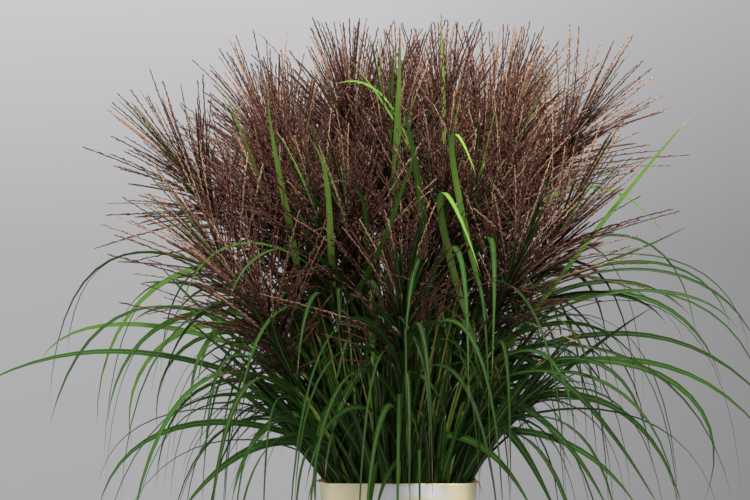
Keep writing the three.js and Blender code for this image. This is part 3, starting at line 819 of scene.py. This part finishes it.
class Piece:
    """Bent copies of patterns that become one named piece."""

    def __init__(self, name):
        self.name, self.bm = name, bmesh.new()
        self.points, self.marks, self.finishes = [], [], []

    def add(self, pattern, points, finish, tone):
        first = len(self.bm.faces)
        self.bm.from_mesh(pattern.mesh)
        if finish not in self.finishes:
            self.finishes.append(finish)
        slot = self.finishes.index(finish)
        if slot:
            self.bm.faces.ensure_lookup_table()
            for face in self.bm.faces[first:]:
                face.material_index = slot
        self.points.append(points)
        self.marks.append((pattern.shape[:, 2], pattern.shape[:, 0], np.full(len(points), float(tone)),
                           pattern.grain))

    def grow(self, pattern, finish, tone, curve, across, wide, high, twist=0, fold=0):
        """Adds a copy of a pattern that is bent along a curve."""
        self.add(pattern, bend(pattern.shape, curve, across, wide, high, twist, fold), finish, tone)

    def finish(self, slot, node):
        mesh = new_mesh(self.name, self.bm)
        mesh.vertices.foreach_set("co", np.clip(np.concatenate(self.points) * MM, *CAD_BOX).ravel())
        for mark, values in zip(("along", "across", "tone", "grain"), zip(*self.marks)):
            if mark in mesh.attributes:
                mesh.attributes.remove(mesh.attributes[mark])
            mesh.attributes.new(mark, "FLOAT", "POINT").data.foreach_set("value", np.concatenate(values))
        mesh.update()
        for finish in self.finishes:
            mesh.materials.append(finish)
        placed(self.name, mesh, node)


# Finishes
BLACK, WHITE = (0, 0, 0), (255, 255, 255)


def paint(colour):
    """A colour given as on a screen, 0 to 255, as the light that it sends back."""
    return (*[((c / 255 + 0.055) / 1.055) ** 2.4 if c > 10 else c / 3295 for c in colour], 1)


class Nodes:
    """A node tree, and short words for what is built in it."""

    def __init__(self, owner):
        owner.use_nodes = True
        self.tree = owner.node_tree

    def feed(self, socket, value):
        if isinstance(value, bpy.types.NodeSocket):
            self.tree.links.new(value, socket)
        else:
            socket.default_value = value

    def node(self, kind, inputs=None, **settings):
        node = self.tree.nodes.new("ShaderNode" + kind)
        for setting, value in settings.items():
            setattr(node, setting, value)
        for socket, value in (inputs or {}).items():
            self.feed(node.inputs[socket], value)
        return node

    def math(self, operation, a, b=0.0):
        return self.node("Math", {0: a, 1: b}, operation=operation).outputs[0]

    def plus(self, a, b):
        return self.math("ADD", a, b)

    def times(self, a, b):
        return self.math("MULTIPLY", a, b)

    def ramp(self, factor, *stops, smooth=False):
        """Colours along a factor, each stop as (place, colour)."""
        node = self.node("ValToRGB", {"Fac": factor})
        node.color_ramp.interpolation = "EASE" if smooth else "LINEAR"
        for _ in stops[2:]:
            node.color_ramp.elements.new(0.5)
        for element, (at, colour) in zip(node.color_ramp.elements, stops):
            element.position = at
            element.color = paint(colour)
        return node.outputs["Color"]


class Finish(Nodes):
    """A procedural finish: a surface and the nodes that feed it."""

    def __init__(self, name, **sockets):
        self.material = bpy.data.materials.new(name)
        super().__init__(self.material)
        self.surface = self.tree.nodes["Principled BSDF"]
        for socket, value in sockets.items():
            self.surface.inputs[socket.replace("_", " ")].default_value = value

    def mark(self, name):
        return self.node("Attribute", attribute_name=name).outputs["Fac"]

    def place(self):
        return self.node("TexCoord").outputs["Object"]

    def noise(self, vector, scale, detail=3, roughness=0.5):
        inputs = {"Vector": vector, "Scale": scale, "Detail": detail, "Roughness": roughness}
        return self.node("TexNoise", inputs).outputs["Fac"]

    def strip(self, across_scale, along_scale):
        """Coordinates that follow a leaf or culm: across it, along it, and its own tone, so no two match."""
        scales = {"X": ("across", across_scale), "Y": ("along", along_scale), "Z": ("tone", 40.0)}
        inputs = {axis: self.times(self.mark(name), scale) for axis, (name, scale) in scales.items()}
        return self.node("CombineXYZ", inputs).outputs[0]

    def mask(self, factor, none, full, most=255):
        """A share that grows from nothing, at one value of the factor, to the most at another."""
        return self.ramp(factor, (none, BLACK), (full, (most, most, most)))

    def fade(self, factor, full, none, smooth=False):
        """A share that sinks from all to nothing."""
        return self.ramp(factor, (full, WHITE), (none, BLACK), smooth=smooth)

    def blend(self, factor, a, b, mode="MIX"):
        node = self.node("Mix", data_type="RGBA", blend_type=mode)
        self.feed(node.inputs["Factor"], factor)
        for socket, value in ((node.inputs["A"], a), (node.inputs["B"], b)):
            self.feed(socket, paint(value) if isinstance(value, tuple) else value)
        return node.outputs["Result"]

    def product(self, a, b):
        return self.blend(1.0, a, b, mode="MULTIPLY")

    def tint(self, colour, where, share, tint):
        """The colour, with a share of a tint in it where the mask says."""
        return self.blend(where, colour, self.blend(share, colour, tint))

    def relief(self, height, strength, distance):
        inputs = {"Height": height, "Strength": strength, "Distance": distance}
        self.feed(self.surface.inputs["Normal"], self.node("Bump", inputs).outputs["Normal"])

    def done(self, colour):
        self.feed(self.surface.inputs["Base Color"], colour)
        return self.material


def leaf_finish():
    finish = Finish("leaf_green", Roughness=0.5, IOR=1.4, Specular_IOR_Level=0.06)
    along, across, tone = finish.mark("along"), finish.mark("across"), finish.mark("tone")
    # the tone mark carries painted light and shade: dark green for leaves in the depth, bright green for
    # leaves given light
    green = finish.ramp(tone, (0, (9, 29, 9)), (0.35, (17, 50, 13)), (0.7, (39, 82, 22)), (1, (116, 154, 64)))
    streak = finish.noise(finish.strip(5.0, 2.5), 3.0, 4)
    green = finish.tint(green, finish.mask(streak, 0.35, 0.7), 0.08, (150, 172, 84))
    green = finish.tint(green, finish.fade(along, 0.0, 0.16, smooth=True), 0.4, (150, 160, 84))
    rib = finish.fade(finish.math("ABSOLUTE", across), 0.03, 0.11)
    green = finish.tint(green, rib, 0.28, (176, 190, 140))
    dry = finish.mask(finish.plus(along, finish.times(streak, 0.08)), 0.975, 1.0)
    green = finish.blend(dry, green, (150, 124, 78))
    waves = {"Vector": finish.strip(9.0, 0.2), "Scale": 1.0, "Distortion": 0.6}
    finish.relief(finish.node("TexWave", waves, bands_direction="X").outputs["Fac"], 0.14, 0.0002)
    return finish.done(green)


def culm_finish():
    finish = Finish("culm_green", Roughness=0.4, IOR=1.42)
    along, tone = finish.mark("along"), finish.mark("tone")
    streak = finish.noise(finish.strip(4.0, 18.0), 2.0, 4)
    drift = finish.plus(along, finish.times(streak, 0.18))
    green = finish.ramp(drift, (0.0, (176, 180, 90)), (0.12, (184, 208, 86)), (0.5, (158, 186, 72)),
                        (0.85, (134, 136, 58)), (1.0, (110, 74, 46)))
    green = finish.blend(finish.times(tone, 0.35), green, (50, 82, 28))
    knot = finish.fade(finish.math("FRACT", finish.plus(finish.times(along, 4.3), tone)), 0.0, 0.03)
    finish.relief(streak, 0.3, 0.0004)
    return finish.done(finish.blend(knot, green, (168, 160, 96)))


def crown_finish():
    finish = Finish("crown_brown", Roughness=0.85)
    fibre = finish.noise(finish.strip(7.0, 4.0), 3.0, 5)
    brown = finish.ramp(fibre, (0.25, (58, 44, 28)), (0.5, (112, 92, 56)), (0.75, (156, 134, 88)))
    finish.relief(fibre, 0.5, 0.001)
    return finish.done(finish.blend(finish.mark("tone"), brown, (96, 106, 52)))


def plume_finish():
    finish = Finish("plume_brown", Roughness=0.62, IOR=1.4, Specular_IOR_Level=0.3)
    along, tone, grain = finish.mark("along"), finish.mark("tone"), finish.mark("grain")
    glume = finish.ramp(grain, (0.0, (56, 28, 19)), (0.5, (90, 48, 35)), (0.85, (124, 75, 57)),
                        (1.0, (178, 134, 112)))
    # painted highlight: one side of each raceme is made paler, a pale line along it that the twist turns from
    # side to side
    streak = finish.mask(finish.times(finish.mark("across"), 0.5), 0.3, 0.65, most=190)
    glume = finish.blend(streak, glume, (196, 158, 136))
    speck = finish.mask(finish.noise(finish.place(), 260.0, 2), 0.35, 0.65)
    glume = finish.tint(glume, speck, 0.55, (74, 40, 34))
    outer = finish.ramp(along, (0.1, (80, 80, 80)), (0.9, WHITE))
    buff = finish.ramp(tone, (0.86, (106, 98, 48)), (0.96, (190, 172, 128)))
    ripe = finish.product(finish.mask(tone, 0.80, 0.84), outer)
    glume = finish.blend(ripe, glume, finish.blend(0.3, buff, glume))
    glume = finish.blend(finish.times(finish.fade(tone, 0.0, 0.35), 0.8), glume, (44, 22, 14))
    glume = finish.blend(finish.times(finish.mask(tone, 0.4, 0.78), 0.55), glume, (174, 131, 112))
    # painted shade: each raceme is darker towards its foot, in the crowded core of the plume
    glume = finish.product(glume, finish.ramp(along, (0.0, (84, 84, 84)), (0.7, WHITE)))
    hair = finish.mask(finish.times(grain, 0.5), 0.75, 0.8)
    return finish.done(finish.blend(hair, glume, (222, 208, 178)))


def straw_finish():
    finish = Finish("dry_straw", Roughness=0.8)
    streak = finish.noise(finish.strip(6.0, 3.0), 3.0, 4)
    finish.relief(streak, 0.5, 0.0008)
    straw = finish.ramp(streak, (0.3, (92, 70, 38)), (0.5, (140, 112, 66)), (0.7, (186, 158, 106)))
    return finish.done(straw)


def stalk_finish():
    finish = Finish("stalk_red", Roughness=0.5)
    streak = finish.noise(finish.strip(3.0, 8.0), 3.0, 3)
    drift = finish.plus(finish.mark("along"), finish.times(streak, 0.2))
    finish.relief(streak, 0.3, 0.0003)
    return finish.done(finish.ramp(drift, (0.0, (124, 118, 66)), (0.3, (126, 84, 56)), (0.9, (92, 48, 38))))


def pot_finish():
    """Cream plastic with scuffs, and painted reflections: soft pale bluish blotches in a band under the rim,
    on the flat of each side.
    """
    finish = Finish("cream_plastic", Roughness=0.24, IOR=1.5)
    place = finish.place()
    cream = finish.ramp(finish.noise(place, 9.0, 3), (0.3, (209, 198, 165)), (0.7, (217, 208, 177)))
    drawn_down = finish.node("Mapping", {"Vector": place, "Scale": (6.0, 6.0, 60.0)}).outputs[0]
    scuff = finish.noise(drawn_down, 6.0, 5)
    cream = finish.blend(finish.mask(scuff, 0.66, 0.78, most=60), cream, (188, 176, 140))
    sides = finish.node("SeparateXYZ", {0: place}).outputs
    wavy = finish.plus(sides["Z"], finish.times(finish.noise(place, 30.0, 2), 0.012))
    # painted reflection: a band under the rim, with a wavy top edge, where the pale bluish blotches lie
    painted_reflection_band = finish.ramp(finish.times(wavy, 3.0), (0.7, BLACK), (0.86, WHITE), (0.908, WHITE), (0.914, BLACK))
    painted_reflection_patch = finish.mask(finish.noise(place, 14.0, 1), 0.41, 0.49, most=235)
    off = finish.math("MINIMUM", *[finish.math("ABSOLUTE", sides[axis]) for axis in ("X", "Y")])
    painted_reflection_patch = finish.product(painted_reflection_patch, finish.fade(finish.times(off, 10.0), 0.68, 0.9))
    # painted reflection: pale bluish blotches mixed into the cream where the band and the patches meet
    cream = finish.blend(finish.product(painted_reflection_band, painted_reflection_patch), cream, (212, 214, 226))
    finish.feed(finish.surface.inputs["Roughness"], finish.plus(finish.times(scuff, 0.16), 0.14))
    finish.relief(finish.noise(place, 14.0, 2), 0.35, 0.006)
    return finish.done(cream)


def soil_finish():
    finish = Finish("dark_soil", Roughness=0.95)
    place = finish.place()
    crumb = finish.noise(place, 220.0, 6, 0.65)
    earth = finish.ramp(crumb, (0.3, (26, 19, 14)), (0.5, (52, 38, 27)), (0.72, (88, 68, 48)))
    chip = finish.node("TexVoronoi", {"Vector": place, "Scale": 160.0}).outputs["Distance"]
    finish.relief(crumb, 0.9, 0.004)
    chips = finish.ramp(chip, (0.1, (150, 150, 150)), (0.3, BLACK))
    return finish.done(finish.blend(chips, earth, (112, 88, 62)))


leaf_green, culm_green, crown_brown = leaf_finish(), culm_finish(), crown_finish()
plume_brown, stalk_red, dry_straw = plume_finish(), stalk_finish(), straw_finish()


# The pot and the soil
def new_face(made):
    """The face among what an operator has just made."""
    return [item for item in made["geom"] if isinstance(item, bmesh.types.BMFace)][0]


def rounded_square(bm, width, corner, z):
    """A flat rounded square, face up."""
    bmesh.ops.create_grid(bm, x_segments=1, y_segments=1, size=width / 2)
    bmesh.ops.bevel(bm, geom=bm.verts, offset=corner, offset_type="OFFSET", affect="VERTICES", segments=12,
                    profile=0.5, material=-1)
    shift(bm, bm.verts, 0, 0, z)
    return max(bm.faces, key=lambda face: face.calc_area())


def raise_ring(bm, face, z, width):
    """Extrudes a face up or down to a height and scales it to a width."""
    top = new_face(bmesh.ops.extrude_face_region(bm, geom=[face]))
    bmesh.ops.delete(bm, geom=[face], context="FACES_ONLY")
    now = max(vert.co.x for vert in top.verts) * 2
    for vert in top.verts:
        vert.co = Vector((vert.co.x * width / now, vert.co.y * width / now, z))
    return top


def width_at(z):
    return POT_FOOT + (POT_WIDTH - POT_FOOT) * z / POT_HEIGHT


def placed_in_metres(name, bm, sharpest, finish, node):
    """Places a piece that was drawn in millimetres."""
    stretch(bm, bm.verts, MM, MM, MM)
    soften(bm, sharpest)
    mesh = new_mesh(name, bm)
    mesh.materials.append(finish)
    placed(name, mesh, node)


def make_pot():
    bm = bmesh.new()
    face = rounded_square(bm, POT_WIDTH, POT_CORNER, 0)
    for vert in bm.verts:
        vert.co.x *= POT_FOOT / POT_WIDTH
        vert.co.y *= POT_FOOT / POT_WIDTH
    underside = new_face(bmesh.ops.duplicate(bm, geom=[face]))
    bmesh.ops.reverse_faces(bm, faces=[underside])
    inner = POT_WIDTH - 2 * POT_WALL
    outside = [(1.2, width_at(0) + 1.2), *((z, width_at(z)) for z in (60, 180, POT_HEIGHT - 4))]
    rim = [
        (POT_HEIGHT - 1, POT_WIDTH), (POT_HEIGHT - 0.3, POT_WIDTH - 0.7), (POT_HEIGHT, POT_WIDTH - 1.7),
        (POT_HEIGHT, inner + 1.6), (POT_HEIGHT - 0.5, inner + 0.3), (POT_HEIGHT - 2, inner),
    ]
    well = [(SOIL_TOP - 20, width_at(SOIL_TOP - 20) - 2 * POT_WALL), (POT_FLOOR, POT_FOOT - 2 * POT_WALL)]
    for z, width in outside + rim + well:
        face = raise_ring(bm, face, z, width)
    bmesh.ops.remove_doubles(bm, verts=bm.verts, dist=0.01)
    placed_in_metres("cream_pot", bm, 40, pot_finish(), "pot")


WAVES, LONGEST_WAVE = 14, 60
CUT_LINES, CUT_PITCH = 9, 11.5
CRUMBS, SMALL_CRUMBS = 240, 0.9


def crumble(x, y):
    """The height of the soil's rough top above its mean, from a few seeded waves."""
    draw = seeded(77)
    height = 0
    for _ in range(WAVES):
        turn = between(draw, 0, ABOUT_A_TURN)
        pitch = between(draw, 9, LONGEST_WAVE)
        phase = between(draw, 0, ABOUT_A_TURN)
        run = (x * math.cos(turn) + y * math.sin(turn)) * ABOUT_A_TURN / pitch
        height = height + math.sin(run + phase) * pitch / LONGEST_WAVE
    return height * 0.5


def make_soil():
    bm = bmesh.new()
    width = width_at(SOIL_TOP) - 2 * (POT_WALL + GAP)
    top = rounded_square(bm, width, POT_CORNER - POT_WALL - GAP, SOIL_TOP - 8)
    lid = new_face(bmesh.ops.extrude_face_region(bm, geom=[top]))
    shift(bm, lid.verts, 0, 0, 6)
    for axis in ((1, 0, 0), (0, 1, 0)):
        for step in range(-CUT_LINES, CUT_LINES + 1):
            block = [*bm.verts, *bm.edges, *bm.faces]
            bmesh.ops.bisect_plane(bm, geom=block, plane_co=Vector(axis) * step * CUT_PITCH, plane_no=axis)
    for vert in bm.verts:
        if vert.co.z > SOIL_TOP - 4:
            edge = 1 - max(abs(vert.co.x), abs(vert.co.y)) / (width / 2)
            vert.co.z += crumble(vert.co.x, vert.co.y) * min(1, 8 * edge + 0.2)
    draw = seeded(99)
    for _ in range(CRUMBS):
        x, y = between(draw, -0.47, 0.47) * width, between(draw, -0.47, 0.47) * width
        size = between(draw, 0.8, 2.6) if draw() < SMALL_CRUMBS else between(draw, 2.6, 4.5)
        made = bmesh.ops.create_icosphere(bm, subdivisions=1, radius=size)["verts"]
        stretch(bm, made, 1, between(draw, 0.5, 1), between(draw, 0.4, 0.8))
        swing(bm, made, between(draw, 0, ABOUT_A_TURN), "Z")
        for vert in made:
            vert.co += Vector((x, y, SOIL_TOP - 2 + crumble(x, y) + size * 0.25))
    placed_in_metres("potting_soil", bm, 60, soil_finish(), "soil")


make_pot()
make_soil()

# The tufts
blade, inner_blade, crown = blade_pattern(), inner_blade_pattern(), crown_pattern()
shoot_rod = rod_pattern("shoot_rod", 5, 7)
culm_rod = rod_pattern("culm_rod", 8, 31)
stalk_rod = rod_pattern("stalk_rod", 6, 7)
detailed_racemes = [raceme_pattern(number) for number in range(SILKY + 1)]
plain_raceme = plain_raceme_pattern()
SIDEWAYS = np.array([1, 0, 0])
SHEATH_LONG, SHEATH_THICK = 0.16, 0.5


def thinning(root, loss):
    """A thickness that falls from the root to the tip."""
    return lambda t: root - loss * t


def sheathed(leaf_roots):
    """A culm's radius, with the sheath of each leaf round it below the place where the leaf leaves."""
    def radius(t):
        sheath = np.zeros(len(t))
        for leaf_root in leaf_roots:
            below = (leaf_root - t) / SHEATH_LONG
            sheath = np.maximum(sheath, np.where((below > 0) & (below < 1), SHEATH_THICK * (1 - below), 0))
        return culm_radius(t) * 0.92 + sheath
    return radius


def share_past(value, start, span):
    """How far a value is past a start, as a share of a span."""
    return np.clip((value - start) / span, 0, 1)


def leaf_tone(leaf, draw):
    """Painted light: leaves among the plumes and out at the left get a lighter tone, as if they catch the
    light; those in the depth get a dark one, painted shade.
    """
    high = share_past(leaf["curve"][:, 2].max(), 640, 180)
    left = share_past(-leaf["curve"][3][0], 160, 160)
    tone = leaf["light"] * (0.66 + 0.56 * high) + 0.26 * left + between(draw, -0.14, 0.2)
    return float(np.clip(tone, 0, 1))


def add_leaf(piece, leaf, number):
    draw = seeded(80000 + number)
    fold = between(draw, 0.12, 0.3)
    twist = 1.2 * leaf["across"][2] if leaf["light"] > 0.5 else between(draw, -0.5, 0.5)
    piece.grow(blade, leaf_green, leaf_tone(leaf, draw), leaf["curve"], leaf["across"],
               blade_half(leaf["wide"]), thinning(0.5, 0.3), twist, fold)


def add_inner_leaf(piece, leaf, draw):
    half = blade_half(leaf["wide"])
    # painted shade: most leaves in the depth get a dark tone, a few a brighter one
    piece.grow(inner_blade, leaf_green, leaf["light"] + 0.68 * between(draw, 0, 1) ** 2, leaf["curve"],
               leaf["across"], lambda t: half(t) / 0.866, thinning(0.9, 0.5))


def add_shoot(piece, shoot, draw):
    size = between(draw, 1.9, 3.1)
    slim = lambda t: size * (1 - 0.6 * t)
    piece.grow(shoot_rod, culm_green, between(draw, 0, 0.6), shoot["curve"], SIDEWAYS, slim, slim)


def add_scales(piece, at, draw):
    """The short dry scales that stand round a crown."""
    for scale in range(9):
        out = heading(between(draw, 0, math.tau))
        foot = at + out * between(draw, 7, 17) + UP * (SOIL_TOP - 2)
        tall = between(draw, 18, 60)
        tip = foot + UP * tall + out * between(draw, 0, 12)
        curve = np.array([foot, foot + UP * tall * 0.4, foot + UP * tall * 0.7 + out * 2, tip])
        half, tone = blade_half(between(draw, 5, 10)), between(draw, 0, 1)
        piece.grow(blade, crown_brown, tone, curve, np.cross(UP, out), half, thinning(0.6, 0.3), fold=0.6)


for tuft, at in enumerate(crown_places):
    piece = Piece(f"leafy_tuft_{tuft + 1:02d}")
    piece.add(crown, crown.shape + at + UP * SOIL_TOP, crown_brown, 0.1)
    for culm in culms:
        if culm["tuft"] == tuft:
            radius = sheathed([leaf["t"] for leaf in leaves if leaf["culm"] is culm])
            across = np.cross(UP, heading(culm["azimuth"]))
            tone = seeded(culm["number"] + 5)()
            piece.grow(culm_rod, culm_green, tone, culm["curve"], across, radius, radius)
    for number, leaf in enumerate(leaves + fine_leaves):
        if leaf["tuft"] == tuft:
            add_leaf(piece, leaf, number)
    draw = seeded(500 + tuft)
    for leaf in inner_leaves:
        if leaf["tuft"] == tuft:
            add_inner_leaf(piece, leaf, draw)
    for shoot in shoots:
        if shoot["tuft"] == tuft:
            add_shoot(piece, shoot, draw)
    for wide, curve in DRY_LEAVES:
        if tuft == closest(crown_places, curve[0] * [1, 1, 0]):
            piece.grow(blade, dry_straw, 0.3, curve, np.array([1, -0.7, 0]), blade_half(wide),
                       thinning(0.5, 0.2), twist=0.7, fold=0.35)
    add_scales(piece, at, seeded(300 + tuft))
    piece.finish("green", f"tuft_{tuft + 1:02d}")

# The plumes: those behind and at the sides are rosier and paler, those at the middle front darker, which is
# painted shade; a few racemes are still green or already silky
for culm, racemes in zip(culms, plumes):
    number = culm["number"]
    piece = Piece(f"feathery_plume_{number + 1:02d}")
    across = np.cross(UP, heading(culm["azimuth"]))
    piece.grow(stalk_rod, stalk_red, 0.5, stalk_line(culm), across, stalk_radius, stalk_radius)
    draw = seeded(900 + number)
    x, back = culm["curve"][3][:2]
    behind = share_past(back, -40, 150)
    # painted shade: plumes at the middle front get a low share and so darker tones; those at the sides and
    # behind get rosier, paler ones
    rosy_and_painted_light = min(1, 0.3 + abs(x) / 220 + 0.8 * behind)
    plume_tone = rosy_and_painted_light * between(draw, 0, 0.28)
    opened = np.clip((abs(x + 30) - 100) / 280, 0.03, 0.4)
    greenish = np.clip(0.55 - abs(x) / 450, 0.08, 0.55) * (0.2 + 0.8 * behind)
    for i, (curve, level) in enumerate(racemes + fine_racemes(culm)):
        silky = draw() < opened
        pattern = detailed_racemes[SILKY if silky else (i + number) % SILKY]
        size = between(draw, 0.85, 1.15)
        even = thinning(size, 0)
        if silky:
            tone = between(draw, 0.9, 1)
        elif draw() < greenish:
            tone = between(draw, 0.82, 0.94)
        else:
            tone = plume_tone + rosy_and_painted_light * between(draw, 0, 0.56) ** 1.2
        piece.grow(pattern, plume_brown, tone, curve, level, even, even, twist=between(draw, -2, 2))
    if number == hanging_plume:
        for strand in range(3):
            curve = hanging_curve + heading(2.1 * strand) * 1.8
            piece.grow(detailed_racemes[strand], plume_brown, 0.5, curve, SIDEWAYS, even, even)
    # painted shade: the racemes in the plume's depth take only its low base tone, so they are darker than the
    # outer ones
    for curve, level in inner_racemes(culm):
        even = thinning(between(draw, 1.1, 1.7), 0)
        piece.grow(plain_raceme, plume_brown, plume_tone, curve, level, even, even)
    piece.finish("plume", f"plume_{number + 1:02d}")


# Camera, light and floor
def in_the_scene(name, data):
    thing = bpy.data.objects.new(name, data)
    bpy.context.scene.collection.objects.link(thing)
    return thing


# The camera stands level in front of the plant, at the height of the photograph's middle row
camera = in_the_scene("camera", bpy.data.cameras.new("camera"))
camera.location = EYE * MM
camera.rotation_euler = (math.pi / 2, 0, 0)
camera.data.lens, camera.data.sensor_width = 83.2, 36
bpy.context.scene.camera = camera


def soft_light(name, place, aim, size, power, colour=(1, 1, 1)):
    lamp = in_the_scene(name, bpy.data.lights.new(name, "AREA"))
    lamp.data.shape, lamp.data.size, lamp.data.energy, lamp.data.color = "DISK", size, power, colour
    lamp.location = place
    lamp.rotation_euler = (Vector(aim) - Vector(place)).to_track_quat("-Z", "Y").to_euler()


soft_light("key_light", (0.4, -1.7, 3.1), (0, 0, 0.6), 0.8, 165, (1.0, 0.98, 0.95))
soft_light("fill_light", (2.2, -2.2, 1.0), (0, 0, 0.5), 1.8, 9, (0.94, 0.97, 1.0))
soft_light("low_light", (-1.8, -2.6, 0.7), (0, 0, 0.4), 1.6, 32, (0.96, 0.98, 1.0))
soft_light("back_light", (0.6, 2.6, 2.6), (0, 0, 0.6), 1.8, 36)

bm = bmesh.new()
FLOOR_RADIUS, BELOW_THE_POT = 1.62, 0.0002
bmesh.ops.create_circle(bm, cap_ends=True, segments=96, radius=FLOOR_RADIUS)
shift(bm, bm.verts, 0, 0, -BELOW_THE_POT)
floor = in_the_scene("pale_floor", new_mesh("pale_floor", bm))
finish = Finish("pale_floor", Roughness=0.9, Specular_IOR_Level=0.1)
cloud = finish.noise(finish.place(), 3.0, 4)
floor.data.materials.append(finish.done(finish.ramp(cloud, (0.3, (132, 132, 133)), (0.7, (139, 139, 140)))))


# A plain grey room, paler above and to the left
class Room(Nodes):
    """The light that comes from all round."""

    def spread(self, value, start, end, low, high):
        """Maps a value from one range to another and holds it there."""
        return self.node("MapRange", {0: value, 1: start, 2: end, 3: low, 4: high}).outputs[0]


world = bpy.data.worlds.new("grey_room")
bpy.context.scene.world = world
room = Room(world)
toward = room.node("SeparateXYZ", {0: room.node("TexCoord").outputs["Generated"]}).outputs
paler_left = room.spread(toward["X"], -1.0, 0.0, 0.065, 0.0)
darker_right = room.spread(toward["X"], 0.0, 1.0, 0.0, -0.67)
rightwards = room.plus(paler_left, darker_right)
slope = room.times(rightwards, room.times(toward["Y"], toward["Y"]))
greys = [(at, (grey, grey, grey)) for at, grey in ((0, 152), (0.26, 170), (0.5, 176), (0.74, 201), (1, 208))]
wall = room.ramp(room.spread(toward["Z"], -0.3, 0.3, 0.0, 1.0), *greys)
level = room.node("Clamp", {0: room.plus(slope, wall), 1: 0.2, 2: 0.6}).outputs[0]
level = room.times(level, room.spread(toward["Z"], 0.3, 1.0, 1.0, 0.7))
level = room.times(level, room.spread(toward["Y"], -1.0, 0.3, 0.52, 1.0))
tint = room.node("CombineColor", {0: level, 1: level, 2: room.times(level, 1.02)}).outputs[0]
room.feed(room.tree.nodes["Background"].inputs["Color"], tint)

bpy.context.scene.view_settings.view_transform = "Standard"
